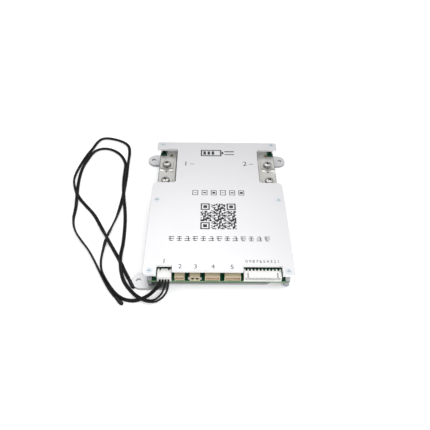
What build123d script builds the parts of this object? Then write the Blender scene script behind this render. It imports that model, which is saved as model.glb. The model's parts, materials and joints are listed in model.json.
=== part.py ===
from build123d import *
from math import pi, radians, tan
import os

os.makedirs("parts", exist_ok=True)

# Battery management board: printed cover sheet, circuit board and base plate in one stack.
# X to the right, Y to the rear, Z up. The origin is the centre of the footprint, at the underside.

# Stack, from the bench up
base_t = 2.0
lower_gap = 4.4
board_t = 1.6
upper_gap = 7.0
cover_t = 2.0

# Cover sheet
cover_w = 106.0
cover_l = 147.5
bay_w = 18.3
bay_l = 43.5
bay_corner = 2.0
shoulder_corner = 4.0
flange_l = 9.7
flange_corner = 1.5
lip_setback = 3.3
notch_depth = 8.2
notch_gap = 0.4
lip_corner = 0.6
tab_corner = 2.6
cover_edge = 0.25

# Fixing points of the cover
screw_side = 4.7
screw_end = 3.5
screw_d = 2.5
screw_hole_d = 2.8
screw_head_d = 5.0
sink_angle = 90.0
recess_w = 0.6
recess_l = 2.6
recess_depth = 0.7
thread_gap = 0.05
pan_round = 0.72

# Base plate and its ears
base_side = 3.0
base_front = 4.0
base_edge = 0.2
ear_w = 14.4
ear_reach = 9.0
ear_front = 1.1
ear_corner = 7.0
ear_hole_d = 3.6
ear_hole_edge = 4.8
arm_l = 25.5
corner_cut_x = 15.5
corner_cut_y = 9.0

# Circuit board
board_side = 2.3
board_front = 1.4
board_rear = 1.0
board_corner = 2.9

# Spacers
spacer_d = 4.5
stud_l = 1.8
spacer_floor = 1.4
cover_screw_l = 6.0
base_screw_l = 4.2
foot_head_h = 1.9
foot_head_d = 4.6
foot_screw_l = 2.2

# Terminals, one bay each side
bar_t = 2.0
bar_w = 14.2
bar_side = 1.2
bar_under = 7.0
bar_spacer_gap = 4.85
bar_corner = 1.0
bar_edge = 0.3
tongue_w = 8.9
tongue_margin = 1.7
eyelet_d = 2.8
eyelet_tube_d = 1.9
eyelet_hole_d = 1.3
eyelet_h = 0.4
eyelet_left_in = 4.5
eyelet_right_in = 7.4
clamp_w = 11.4
clamp_l = 9.8
clamp_shift = 1.4
clamp_t = 0.8
clamp_lobe_d = 10.4
clamp_corner = 0.6
terminal_first = 7.9
terminal_pitch = 20.8
terminal_screw_d = 4.0
terminal_screw_l = 9.0
terminal_hole_gap = 0.15
terminal_head_d = 7.8
terminal_head_h = 2.4
terminal_recess_l = 3.6
terminal_recess_w = 0.9
terminal_recess_depth = 1.2
washer_d = 9.2
washer_t = 0.5
nut_w = 7.0
nut_h = 3.0
post_w = 3.9
post_l = 2.5
post_h = 1.6
post_corner = 0.9
post_dome = 0.7
post_pitch = 7.7
post_shift = 2.9
slot_w = 2.6
slot_l = 1.6

# Ten-way cell header
cell_ways = 10
cell_pitch = 2.5
cell_side = 22.3
cell_w = 26.3
cell_l = 7.1
cell_h = 5.0
cell_front = 1.1
cell_wall = 0.9
cell_roof = 0.9
cell_floor = 1.3
cell_mouth = 5.0
cell_groove_w = 1.5
cell_groove_l = 1.6
cell_slot_w = 1.0
cell_slot_l = 4.2
cell_slot_in = 2.8
pin_w = 0.64
pin_gap = 0.06
pin_back = 1.4
cell_pin_back = 0.7
pin_tail = 1.4

# Four-way temperature header and its plug
temp_ways = 4
temp_pitch = 2.0
temp_side = 14.9
temp_w = 9.9
temp_l = 7.5
temp_h = 4.8
temp_front = 0.9
temp_wall = 0.75
temp_roof = 0.7
temp_floor = 0.7
temp_mouth = 5.4
temp_groove_w = 1.1
temp_groove_l = 1.3
temp_rib_w = 0.5
temp_rib_depth = 0.25
temp_pin_w = 0.5
plug_gap = 0.1
plug_l = 5.2
plug_face = 1.2
plug_edge = 0.3

# Small side-entry sockets, counted from the temperature header to the right
data_step = 10.7
data_w = 7.0
data_ways = 3
gps_step = 10.65
display_step = 12.3
display_w = 10.5
display_ways = 6
heater_step = 14.15
heater_w = 11.4
heater_ways = 7
socket_front = 1.3
socket_l = 5.6
socket_h = 4.6
socket_wall = 0.7
socket_floor = 1.0
socket_roof = 1.3
socket_mouth = 3.8
socket_cheek = 0.35
socket_pitch = 1.25
contact_w = 0.4
contact_l = 3.0
contact_t = 0.3
gps_body_w = 7.2
gps_mouth_w = 2.3
gps_mouth_h = 1.3
gps_key_w = 1.1
gps_key_h = 1.1
gps_mouth_low = 0.8
gps_mouth_pitch = 3.3
gps_tab_w = 1.1
gps_tab_h = 3.0
gps_tab_l = 2.0
gps_tab_in = 0.6
gps_tab_hole_d = 0.6

# Power stage under the board
fet_w = 9.9
fet_l = 10.4
fet_h = 2.3
fet_lead_w = 0.8
fet_lead_l = 1.6
fet_lead_h = 0.6
fet_tab_l = 1.4
fet_edge = 0.4
fet_leads = 5
fet_lead_pitch = 1.8
fet_rows = 3
fet_columns = 4
fet_pitch_x = 12.4
fet_pitch_y = 18.0
fet_from_rear = 38.0
pad_margin = 2.0
pad_corner = 1.5

# Parts on the board, under the cover
plate_l = 40.0
plate_t = 1.2
plate_corner = 1.0
plate_slots = 3
plate_slot_l = 16.0
plate_slot_w = 2.0
plate_slot_pitch = 12.0
plate_from_rear = 40.0
shunt_w = 6.4
shunt_l = 3.2
shunt_h = 0.9
shunt_edge = 0.15
shunt_count = 6
shunt_pitch = 6.2
shunt_gap = 0.3
chip_w = 10.0
chip_h = 1.4
chip_lead_w = 0.35
chip_lead_pitch = 1.0
chip_lead_l = 1.0
chip_foot = 0.1
chip_lead_rise = 0.3
chip_edge = 0.2
chip_lead_count = 8
chip_x = -2.0
chip_from_front = 38.0
monitor_w = 5.4
monitor_l = 12.4
monitor_side = 33.0
monitor_from_front = 46.0
monitor_lead_count = 10
radio_w = 13.0
radio_l = 18.0
radio_t = 0.8
shield_w = 10.6
shield_l = 11.2
shield_h = 2.0
shield_corner = 0.8
shield_in = 1.0
radio_side = 23.0
radio_from_front = 50.0
coil_w = 7.2
coil_h = 4.2
coil_corner = 1.6
coil_core_d = 5.2
coil_core_h = 0.3
coil_side = 31.0
coil_from_front = 24.0
capacitor_d = 6.3
capacitor_h = 5.4
capacitor_base_h = 0.9
capacitor_base_w = 6.6
capacitor_side = 15.0
capacitor_pitch = 9.0
capacitor_count = 3
capacitor_from_front = 17.0
bleed_w = 6.3
bleed_l = 3.2
bleed_h = 0.6
bleed_pitch_x = 8.0
bleed_pitch_y = 5.2
bleed_columns = 3
bleed_rows = 3
bleed_from_front = 20.0

# Thermistor leads and beads
lead_d = 2.2
lead_gap = 0.3
bead_d = 2.4
bead_l = 9.8
bead_neck = 1.2

# Levels
board_low = base_t + lower_gap
board_top = board_low + board_t
cover_low = board_top + upper_gap
cover_top = cover_low + cover_t

# Edges of the plan
front_y = ear_front - (cover_l + ear_front) / 2
rear_y = front_y + cover_l
middle_y = (front_y + rear_y) / 2
bay_rear = rear_y - flange_l
bay_front = bay_rear - bay_l
bay_in = cover_w / 2 - bay_w
lip_y = front_y + lip_setback
temp_x = temp_side - cover_w / 2
cell_x = cover_w / 2 - cell_side
lip_left = temp_x - temp_w / 2 - notch_gap
lip_right = cell_x + cell_w / 2 + notch_gap
base_x = cover_w / 2 - base_side
board_x = cover_w / 2 - board_side
ear_tip = base_x + ear_reach + base_side

# Fixing points
screw_x = cover_w / 2 - screw_side
screw_ys = [front_y + screw_end, middle_y, rear_y - screw_end]
screw_points = [(side * screw_x, y) for side in (-1, 1) for y in screw_ys]
foot_point = (screw_x, screw_ys[0])
base_screw_points = [p for p in screw_points if p != foot_point]
ear_hole_x = ear_tip - ear_hole_edge
rear_ear_y = rear_y - ear_w / 2
front_ear_y = front_y - ear_front + ear_w / 2
ear_hole_points = [(-ear_hole_x, rear_ear_y), (ear_hole_x, rear_ear_y), (-ear_hole_x, front_ear_y)]

# Terminal points
terminal_x = cover_w / 2 - bay_w / 2
terminal_ys = [bay_front + terminal_first, bay_front + terminal_first + terminal_pitch]
terminal_points = [(side * terminal_x, y) for side in (-1, 1) for y in terminal_ys]
terminal_hole_d = terminal_screw_d + 2 * terminal_hole_gap
bar_in = bay_in + bar_side
bar_x = bar_in + bar_w / 2
bar_front = bay_front - bar_under
clamp_rear = terminal_ys[1] + clamp_shift + clamp_l / 2
bar_rear = screw_ys[-1] - spacer_d / 2 - bar_spacer_gap
tongue_rear = rear_y - board_rear - tongue_margin
tongue_x = bar_in + tongue_w / 2
eyelet_y = (clamp_rear + tongue_rear) / 2
eyelet_points = [(-bar_in - eyelet_left_in, eyelet_y), (bar_in + eyelet_right_in, eyelet_y)]
post_y = sum(terminal_ys) / 2 + post_shift
post_xs = [side * terminal_x + half * post_pitch / 2 for side in (-1, 1) for half in (-1, 1)]
clamp_z = board_top + bar_t
washer_z = clamp_z + clamp_t
head_z = washer_z + washer_t

# Points of the pins of the two white headers
pin_low = board_low - pin_tail
cell_pin_xs = [cell_x + (i - (cell_ways - 1) / 2) * cell_pitch for i in range(cell_ways)]
temp_pin_xs = [temp_x + (i - (temp_ways - 1) / 2) * temp_pitch for i in range(temp_ways)]
cell_front_y = front_y + cell_front
cell_tail_y = cell_front_y + cell_l - cell_groove_l / 2
temp_front_y = front_y + temp_front
temp_tail_y = temp_front_y + temp_l - temp_groove_l / 2
cell_mouth_low = board_top + cell_floor
cell_mouth_high = board_top + cell_h - cell_roof
cell_pin_z = (cell_mouth_low + cell_mouth_high) / 2
temp_mouth_low = board_top + temp_floor
temp_mouth_high = board_top + temp_h - temp_roof
temp_pin_z = (temp_mouth_low + temp_mouth_high) / 2
temp_notch_xs = [temp_pin_xs[0], temp_pin_xs[-1]]
lead_exit_z = temp_mouth_low + plug_gap + lead_d / 2

# Small sockets
data_x = temp_x + data_step
gps_x = data_x + gps_step
display_x = gps_x + display_step
heater_x = display_x + heater_step
socket_front_y = front_y + socket_front
socket_mouth_low = board_top + socket_floor
socket_mouth_high = board_top + socket_h - socket_roof
contact_y = socket_front_y + socket_mouth - contact_l / 2
gps_mouth_z = board_top + gps_mouth_low + gps_key_h + gps_mouth_h / 2
gps_key_z = board_top + gps_mouth_low + gps_key_h / 2
socket_rows = [
    ("data_socket", data_x, data_w, data_ways),
    ("display_socket", display_x, display_w, display_ways),
    ("heater_socket", heater_x, heater_w, heater_ways),
]

# Places of the parts on both faces of the board
fet_middle_y = rear_y - fet_from_rear
fet_points = [
    ((column - (fet_columns - 1) / 2) * fet_pitch_x, fet_middle_y + (row - (fet_rows - 1) / 2) * fet_pitch_y)
    for column in range(fet_columns)
    for row in range(fet_rows)
]
plate_y = rear_y - plate_from_rear
plate_in = shunt_w / 2 + shunt_gap
chip_y = front_y + chip_from_front
monitor_x = cover_w / 2 - monitor_side
monitor_y = front_y + monitor_from_front
radio_x = radio_side - cover_w / 2
radio_y = front_y + radio_from_front
coil_x = coil_side - cover_w / 2
coil_y = front_y + coil_from_front
capacitor_x = capacitor_side - cover_w / 2
capacitor_points = [
    (capacitor_x, front_y + capacitor_from_front + i * capacitor_pitch) for i in range(capacitor_count)
]
bleed_y = front_y + bleed_from_front

# Routes of the two leads after the plug, on the bench, in millimetres. The last word is the level:
# "exit" level with the plug, "floor" on the bench, "over" across the other lead, "end" at the bead.
route_a = [
    (-36.1, -74.6, "exit"),
    (-36.4, -77.4, 8.0),
    (-37.9, -79.8, 4.8),
    (-40.6, -82.0, 2.2),
    (-44.6, -84.2, "floor"),
    (-50.2, -84.9, "over"),
    (-56.0, -82.0, "over"),
    (-62.1, -76.9, "floor"),
    (-68.5, -69.0, "floor"),
    (-71.6, -61.0, "floor"),
    (-72.7, -53.6, "over"),
    (-73.0, -43.6, "over"),
    (-72.7, -34.4, "floor"),
    (-73.1, -21.6, "floor"),
    (-74.1, -8.0, "floor"),
    (-75.4, 3.6, "floor"),
    (-77.6, 14.8, "floor"),
    (-78.6, 27.0, "floor"),
    (-79.2, 39.6, "floor"),
    (-79.8, 49.8, "over"),
    (-81.1, 58.8, "over"),
    (-83.5, 66.8, "over"),
    (-88.3, 75.4, "floor"),
    (-95.6, 82.2, "floor"),
    (-104.0, 85.0, "floor"),
    (-111.0, 82.8, "floor"),
    (-114.8, 77.4, "floor"),
    (-117.8, 69.2, "floor"),
    (-120.0, 58.6, "floor"),
    (-120.6, 46.0, "floor"),
    (-119.8, 34.0, "floor"),
    (-118.4, 25.0, "over"),
    (-117.0, 14.6, "over"),
    (-116.3, 4.4, "floor"),
    (-115.9, -7.2, "floor"),
    (-112.6, -18.6, "floor"),
    (-105.8, -28.8, "floor"),
    (-98.2, -39.0, "floor"),
    (-92.2, -50.0, "floor"),
    (-87.4, -60.6, "floor"),
    (-82.6, -69.4, "floor"),
    (-78.2, -76.2, "end"),
    (-74.0, -80.6, "end"),
]
route_b = [
    (-40.1, -74.5, "exit"),
    (-41.7, -76.8, 8.4),
    (-44.8, -78.4, 5.6),
    (-48.6, -79.7, 2.6),
    (-53.4, -82.1, "floor"),
    (-59.2, -84.5, "floor"),
    (-66.6, -82.7, "floor"),
    (-73.8, -77.2, "floor"),
    (-80.2, -67.8, "floor"),
    (-85.6, -59.0, "floor"),
    (-87.6, -49.4, "floor"),
    (-87.4, -38.0, "floor"),
    (-86.4, -26.6, "floor"),
    (-84.3, -14.8, "floor"),
    (-81.8, -3.4, "floor"),
    (-80.6, 8.4, "floor"),
    (-81.0, 20.8, "floor"),
    (-81.7, 33.6, "floor"),
    (-82.3, 46.4, "floor"),
    (-81.6, 57.6, "floor"),
    (-80.5, 68.2, "floor"),
    (-80.6, 79.2, "floor"),
    (-82.4, 88.6, "floor"),
    (-88.4, 95.0, "floor"),
    (-97.8, 99.2, "floor"),
    (-107.4, 101.4, "floor"),
    (-112.6, 95.8, "floor"),
    (-116.4, 84.6, "floor"),
    (-120.0, 73.4, "floor"),
    (-123.6, 61.4, "floor"),
    (-125.3, 50.0, "floor"),
    (-125.0, 39.4, "floor"),
    (-122.2, 29.0, "floor"),
    (-116.8, 18.4, "floor"),
    (-108.6, 9.4, "floor"),
    (-100.2, -0.8, "floor"),
    (-94.4, -10.6, "floor"),
    (-90.2, -18.6, "over"),
    (-84.4, -29.6, "over"),
    (-79.0, -38.4, "floor"),
    (-72.9, -50.6, "floor"),
    (-69.2, -59.3, "end"),
    (-66.0, -65.1, "end"),
]


def near(value, target):
    """True where two coordinates are the same to a hundredth of a millimetre."""
    return abs(value - target) < 0.01


def write(part, name):
    """Names a finished piece and writes it to its own file."""
    part.part.label = name
    export_step(part.part, f"parts/{name}.step")


def flat_screw(length):
    """A countersunk screw, its head's top face at the origin and its shank down."""
    head_h = (screw_head_d - screw_d) / 2 / tan(radians(sink_angle / 2))
    with BuildPart() as screw:
        with BuildSketch(Plane.XZ):
            with BuildLine():
                Polyline(
                    (0, 0),
                    (screw_head_d / 2, 0),
                    (screw_d / 2, -head_h),
                    (screw_d / 2, -length),
                    (0, -length),
                    close=True,
                )
            make_face()
        revolve(axis=Axis.Z)
        with BuildSketch():
            Rectangle(recess_l, recess_w)
            Rectangle(recess_w, recess_l)
        extrude(amount=-recess_depth, mode=Mode.SUBTRACT)
    return screw.part


def pan_screw(head_d, head_h, shank_d, length, cross_l, cross_w, cross_depth):
    """A pan-head screw, the underside of its head at the origin and its shank down."""
    with BuildPart() as screw:
        with BuildSketch():
            Circle(head_d / 2)
        extrude(amount=head_h)
        fillet(faces().sort_by(Axis.Z)[-1].edges(), head_h * pan_round)
        with BuildSketch(Plane.XY.offset(head_h)):
            Rectangle(cross_l, cross_w)
            Rectangle(cross_w, cross_l)
        extrude(amount=-cross_depth, mode=Mode.SUBTRACT)
        with BuildSketch():
            Circle(shank_d / 2)
        extrude(amount=-length)
    return screw.part


def pin_outline(front, tail, level, bottom, width):
    """Corners of a square wire that runs back at a level and turns down through the board."""
    return (
        (front, level - width / 2),
        (tail - width / 2, level - width / 2),
        (tail - width / 2, bottom),
        (tail + width / 2, bottom),
        (tail + width / 2, level + width / 2),
        (front, level + width / 2),
    )


def lead_points(exit_x, route):
    """Points of a lead: out of the plug, down to the bench and along it, with humps where it crosses."""
    heights = {"exit": lead_exit_z, "floor": lead_d / 2, "over": lead_d * 3 / 2 + lead_gap, "end": bead_d / 2}
    points = [(exit_x, temp_front_y, lead_exit_z)]
    for x, y, level in route:
        points.append((x, y, heights.get(level, level)))
    return points


def corner_radii(points):
    """The radius at each corner of a route: 0.45 of its shorter run over the tangent of half the turn."""
    radii = []
    for before, corner, after in zip(points, points[1:], points[2:]):
        first = Vector(corner) - Vector(before)
        second = Vector(after) - Vector(corner)
        half_turn = radians(first.get_angle(second)) / 2
        radii.append(0.45 * min(first.length, second.length) / tan(half_turn))
    return radii


# Cover sheet: bays at the rear sides, connector notches and a set-back lip along the front
with BuildPart() as top_cover:
    with BuildSketch(Plane.XY.offset(cover_low)):
        with Locations((0, middle_y)):
            Rectangle(cover_w, cover_l)
        with Locations(*[(side * (bay_in + bay_w), (bay_front + bay_rear) / 2) for side in (-1, 1)]):
            Rectangle(2 * bay_w, bay_l, mode=Mode.SUBTRACT)
        with Locations(((lip_left + lip_right) / 2, front_y)):
            Rectangle(lip_right - lip_left, 2 * lip_setback, mode=Mode.SUBTRACT)
        with Locations((temp_x, front_y)):
            Rectangle(temp_w + 2 * notch_gap, 2 * notch_depth, mode=Mode.SUBTRACT)
        with Locations((cell_x, front_y)):
            Rectangle(cell_w + 2 * notch_gap, 2 * notch_depth, mode=Mode.SUBTRACT)
        corners = vertices()
        fillet([v for v in corners if near(abs(v.X), bay_in) and v.Y > middle_y], bay_corner)
        corners = vertices()
        fillet([v for v in corners if near(abs(v.X), cover_w / 2) and near(v.Y, bay_front)], shoulder_corner)
        corners = vertices()
        fillet([v for v in corners if near(abs(v.X), cover_w / 2) and v.Y > bay_rear - 0.01], flange_corner)
        corners = vertices()
        fillet([v for v in corners if near(abs(v.X), cover_w / 2) and near(v.Y, front_y)], tab_corner)
        corners = vertices()
        fillet([v for v in corners if near(v.Y, lip_y) or near(v.Y, front_y + notch_depth)], lip_corner)
    extrude(amount=cover_t)
    top_rim = faces().sort_by(Axis.Z)[-1].outer_wire().edges()
    chamfer(top_rim, cover_edge)
    with Locations(*[(x, y, cover_top) for x, y in screw_points]):
        CounterSinkHole(screw_hole_d / 2, screw_head_d / 2 + thread_gap, counter_sink_angle=sink_angle)
write(top_cover, "top_cover")

# Base plate: the heat-sink sheet, two half-round ears at the rear and one arm at the front left
with BuildPart() as base_plate:
    with BuildSketch():
        with Locations((0, (front_y + base_front + rear_y) / 2)):
            Rectangle(2 * base_x, cover_l - base_front)
        with Locations((0, rear_ear_y)):
            Rectangle(2 * ear_tip, ear_w)
        with Locations((arm_l / 2 - ear_tip, front_ear_y)):
            Rectangle(arm_l, ear_w)
        fillet([v for v in vertices() if near(abs(v.X), ear_tip)], ear_corner)
        with BuildLine():
            Polyline(
                (base_x, front_y + base_front),
                (base_x - corner_cut_x, front_y + base_front),
                (base_x, front_y + base_front + corner_cut_y),
                close=True,
            )
        make_face(mode=Mode.SUBTRACT)
    extrude(amount=base_t)
    chamfer(faces().sort_by(Axis.Z)[-1].outer_wire().edges(), base_edge)
    with Locations(*[(x, y, base_t) for x, y in ear_hole_points]):
        Hole(ear_hole_d / 2)
    with Locations(*[Location((x, y, 0), (180, 0, 0)) for x, y in base_screw_points]):
        CounterSinkHole(screw_hole_d / 2, screw_head_d / 2 + thread_gap, counter_sink_angle=sink_angle)
write(base_plate, "base_plate")

# Circuit board, with holes for the spacers, the terminal screws and the header pins
with BuildPart() as circuit_board:
    with BuildSketch(Plane.XY.offset(board_low)):
        with Locations((0, (front_y + board_front + rear_y - board_rear) / 2)):
            RectangleRounded(2 * board_x, cover_l - board_front - board_rear, board_corner)
        with Locations(*screw_points):
            Circle(screw_d / 2 + thread_gap, mode=Mode.SUBTRACT)
        with Locations(*terminal_points):
            Circle(terminal_hole_d / 2, mode=Mode.SUBTRACT)
        with Locations(*[(x, cell_tail_y) for x in cell_pin_xs]):
            Rectangle(pin_w + 2 * pin_gap, pin_w + 2 * pin_gap, mode=Mode.SUBTRACT)
        with Locations(*[(x, temp_tail_y) for x in temp_pin_xs]):
            Rectangle(temp_pin_w + 2 * pin_gap, temp_pin_w + 2 * pin_gap, mode=Mode.SUBTRACT)
    extrude(amount=board_t)
write(circuit_board, "circuit_board")

# Spacers: the upper ones have a stud that reaches through the board into the lower ones
with BuildPart() as upper_spacers:
    with BuildSketch(Plane.XY.offset(board_top)):
        with Locations(*screw_points):
            Circle(spacer_d / 2)
    extrude(amount=upper_gap)
    with BuildSketch(Plane.XY.offset(board_low - stud_l)):
        with Locations(*screw_points):
            Circle(screw_d / 2)
    extrude(amount=board_t + stud_l)
    with BuildSketch(Plane.XY.offset(board_top + spacer_floor)):
        with Locations(*screw_points):
            Circle(screw_d / 2 + thread_gap)
    extrude(amount=upper_gap - spacer_floor, mode=Mode.SUBTRACT)
write(upper_spacers, "upper_spacers")

with BuildPart() as lower_spacers:
    with BuildSketch(Plane.XY.offset(base_t)):
        with Locations(*screw_points):
            Circle(spacer_d / 2)
            Circle(screw_d / 2 + thread_gap, mode=Mode.SUBTRACT)
    extrude(amount=lower_gap)
write(lower_spacers, "lower_spacers")

# Screws: six in the cover, five from below in the base plate, one pan head as a foot
cover_screw = flat_screw(cover_screw_l)
base_screw = flat_screw(base_screw_l)
foot_head = pan_screw(foot_head_d, foot_head_h, screw_d, foot_screw_l, recess_l, recess_w, recess_depth)

with BuildPart() as cover_screws:
    with Locations(*[(x, y, cover_top) for x, y in screw_points]):
        add(cover_screw)
write(cover_screws, "cover_screws")

with BuildPart() as base_screws:
    with Locations(*[Location((x, y, 0), (180, 0, 0)) for x, y in base_screw_points]):
        add(base_screw)
write(base_screws, "base_screws")

with BuildPart() as foot_screw:
    with Locations(Location((foot_point[0], foot_point[1], base_t), (180, 0, 0))):
        add(foot_head)
write(foot_screw, "foot_screw")

# Terminal bars: a tinned bar with a tongue towards the rear, one on each side
for side, name in ((-1, "left_terminal_bar"), (1, "right_terminal_bar")):
    with BuildPart() as terminal_bar:
        with BuildSketch(Plane.XY.offset(board_top)):
            with Locations((side * bar_x, (bar_front + bar_rear) / 2)):
                RectangleRounded(bar_w, bar_rear - bar_front, bar_corner)
            with Locations((side * tongue_x, (bar_front + bar_corner + tongue_rear) / 2)):
                Rectangle(tongue_w, tongue_rear - bar_front - bar_corner)
            with Locations(*[(side * terminal_x, y) for y in terminal_ys]):
                Circle(terminal_hole_d / 2, mode=Mode.SUBTRACT)
            with Locations(*[(x, y) for x, y in eyelet_points if x * side > 0]):
                Circle(eyelet_tube_d / 2 + thread_gap, mode=Mode.SUBTRACT)
            with Locations((side * terminal_x, post_y)):
                SlotOverall(slot_w, slot_l, mode=Mode.SUBTRACT)
        extrude(amount=bar_t)
        chamfer(faces().sort_by(Axis.Z)[-1].outer_wire().edges(), bar_edge)
    write(terminal_bar, name)

with BuildPart() as terminal_eyelets:
    with BuildSketch(Plane.XY.offset(board_top)):
        with Locations(*eyelet_points):
            Circle(eyelet_tube_d / 2)
            Circle(eyelet_hole_d / 2, mode=Mode.SUBTRACT)
    extrude(amount=bar_t)
    with BuildSketch(Plane.XY.offset(board_top + bar_t)):
        with Locations(*eyelet_points):
            Circle(eyelet_d / 2)
            Circle(eyelet_hole_d / 2, mode=Mode.SUBTRACT)
    extrude(amount=eyelet_h)
write(terminal_eyelets, "terminal_eyelets")

# Clamp plates: square washers whose inner ends are round lobes about the screws
with BuildPart() as clamp_plates:
    with BuildSketch(Plane.XY.offset(clamp_z)):
        for x, y in terminal_points:
            away = 1 if y > min(terminal_ys) else -1
            with Locations((x, y + away * clamp_shift)):
                RectangleRounded(clamp_w, clamp_l, clamp_corner)
            with Locations((x, y)):
                Circle(clamp_lobe_d / 2)
                Circle(terminal_hole_d / 2, mode=Mode.SUBTRACT)
    extrude(amount=clamp_t)
write(clamp_plates, "clamp_plates")

with BuildPart() as terminal_washers:
    with BuildSketch(Plane.XY.offset(washer_z)):
        with Locations(*terminal_points):
            Circle(washer_d / 2)
            Circle(terminal_hole_d / 2, mode=Mode.SUBTRACT)
    extrude(amount=washer_t)
write(terminal_washers, "terminal_washers")

terminal_screw = pan_screw(
    terminal_head_d,
    terminal_head_h,
    terminal_screw_d,
    terminal_screw_l,
    terminal_recess_l,
    terminal_recess_w,
    terminal_recess_depth,
)
with BuildPart() as terminal_screws:
    with Locations(*[(x, y, head_z) for x, y in terminal_points]):
        add(terminal_screw)
write(terminal_screws, "terminal_screws")

with BuildPart() as terminal_nuts:
    with BuildSketch(Plane.XY.offset(board_low - nut_h)):
        with Locations(*terminal_points):
            RegularPolygon(nut_w / 2, 6, major_radius=False)
            Circle(terminal_screw_d / 2 + thread_gap, mode=Mode.SUBTRACT)
    extrude(amount=nut_h)
write(terminal_nuts, "terminal_nuts")

# Solder posts: two round-topped blocks between the screws of each bay
with BuildPart() as terminal_posts:
    with BuildSketch(Plane.XY.offset(clamp_z)):
        with Locations(*[(x, post_y) for x in post_xs]):
            RectangleRounded(post_w, post_l, post_corner)
    extrude(amount=post_h)
    fillet(faces().group_by(Axis.Z)[-1].edges(), post_dome)
write(terminal_posts, "terminal_posts")

# Ten-way cell header: scalloped rear edge, two keying slots in the roof, open mouth at the front
with BuildPart() as cell_header:
    with BuildSketch(Plane.XY.offset(board_top)):
        with Locations((cell_x, cell_front_y + cell_l / 2)):
            Rectangle(cell_w, cell_l)
        with Locations(*[(x, cell_front_y + cell_l) for x in cell_pin_xs]):
            SlotOverall(2 * cell_groove_l, cell_groove_w, rotation=90, mode=Mode.SUBTRACT)
    extrude(amount=cell_h)
    with BuildSketch(Plane.XZ.offset(-cell_front_y)):
        with Locations((cell_x, (cell_mouth_low + cell_mouth_high) / 2)):
            Rectangle(cell_w - 2 * cell_wall, cell_mouth_high - cell_mouth_low)
    extrude(amount=-cell_mouth, mode=Mode.SUBTRACT)
    with BuildSketch(Plane.XZ.offset(-cell_front_y)):
        with Locations(*[(x, cell_pin_z) for x in cell_pin_xs]):
            Rectangle(pin_w + 2 * pin_gap, pin_w + 2 * pin_gap)
    extrude(amount=-cell_l, mode=Mode.SUBTRACT)
    with BuildSketch(Plane.XY.offset(board_top + cell_h)):
        with Locations((cell_x, cell_front_y)):
            with GridLocations(cell_w - 2 * cell_slot_in, 0, 2, 1):
                Rectangle(cell_slot_w, 2 * cell_slot_l)
    extrude(amount=-(cell_roof + pin_w), mode=Mode.SUBTRACT)
write(cell_header, "cell_header")

with BuildPart() as cell_pins:
    for x in cell_pin_xs:
        with BuildSketch(Plane.YZ.offset(x)):
            with BuildLine():
                Polyline(
                    *pin_outline(cell_front_y + cell_pin_back, cell_tail_y, cell_pin_z, pin_low, pin_w),
                    close=True,
                )
            make_face()
        extrude(amount=pin_w / 2, both=True)
write(cell_pins, "cell_pins")

# Four-way temperature header: two notches in its rear edge, two grooves along its roof
with BuildPart() as temperature_header:
    with BuildSketch(Plane.XY.offset(board_top)):
        with Locations((temp_x, temp_front_y + temp_l / 2)):
            Rectangle(temp_w, temp_l)
        with Locations(*[(x, temp_front_y + temp_l) for x in temp_notch_xs]):
            Rectangle(temp_groove_w, 2 * temp_groove_l, mode=Mode.SUBTRACT)
    extrude(amount=temp_h)
    with BuildSketch(Plane.XY.offset(board_top)):
        with Locations(*[(x, temp_front_y + temp_l) for x in temp_pin_xs]):
            Rectangle(temp_pin_w + 2 * pin_gap, 2 * temp_groove_l)
    extrude(amount=temp_pin_z + temp_pin_w - board_top, mode=Mode.SUBTRACT)
    with BuildSketch(Plane.XY.offset(board_top + temp_h)):
        with Locations(*[(x, temp_front_y + temp_l / 2) for x in temp_notch_xs]):
            Rectangle(temp_rib_w, temp_l)
    extrude(amount=-temp_rib_depth, mode=Mode.SUBTRACT)
    with BuildSketch(Plane.XZ.offset(-temp_front_y)):
        with Locations((temp_x, (temp_mouth_low + temp_mouth_high) / 2)):
            Rectangle(temp_w - 2 * temp_wall, temp_mouth_high - temp_mouth_low)
    extrude(amount=-temp_mouth, mode=Mode.SUBTRACT)
    with BuildSketch(Plane.XZ.offset(-temp_front_y)):
        with Locations(*[(x, temp_pin_z) for x in temp_pin_xs]):
            Rectangle(temp_pin_w + 2 * pin_gap, temp_pin_w + 2 * pin_gap)
    extrude(amount=-temp_l, mode=Mode.SUBTRACT)
write(temperature_header, "temperature_header")

with BuildPart() as temperature_pins:
    for x in temp_pin_xs:
        with BuildSketch(Plane.YZ.offset(x)):
            with BuildLine():
                Polyline(
                    *pin_outline(temp_front_y + pin_back, temp_tail_y, temp_pin_z, pin_low, temp_pin_w),
                    close=True,
                )
            make_face()
        extrude(amount=temp_pin_w / 2, both=True)
write(temperature_pins, "temperature_pins")

# Plug in the temperature header: a block with four contact chambers at its rear
with BuildPart() as temperature_plug:
    with BuildSketch(Plane.XZ.offset(-temp_front_y)):
        with Locations((temp_x, (temp_mouth_low + temp_mouth_high) / 2)):
            Rectangle(temp_w - 2 * temp_wall - 2 * plug_gap, temp_mouth_high - temp_mouth_low - 2 * plug_gap)
    extrude(amount=-plug_l)
    chamfer(faces().sort_by(Axis.Y)[-1].edges(), plug_edge)
    with BuildSketch(Plane.XZ.offset(-temp_front_y - plug_face)):
        with Locations(*[(x, temp_pin_z) for x in temp_pin_xs]):
            Rectangle(temp_pin_w + 2 * pin_gap, temp_pin_w + 2 * pin_gap)
    extrude(amount=-plug_l, mode=Mode.SUBTRACT)
write(temperature_plug, "temperature_plug")

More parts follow.
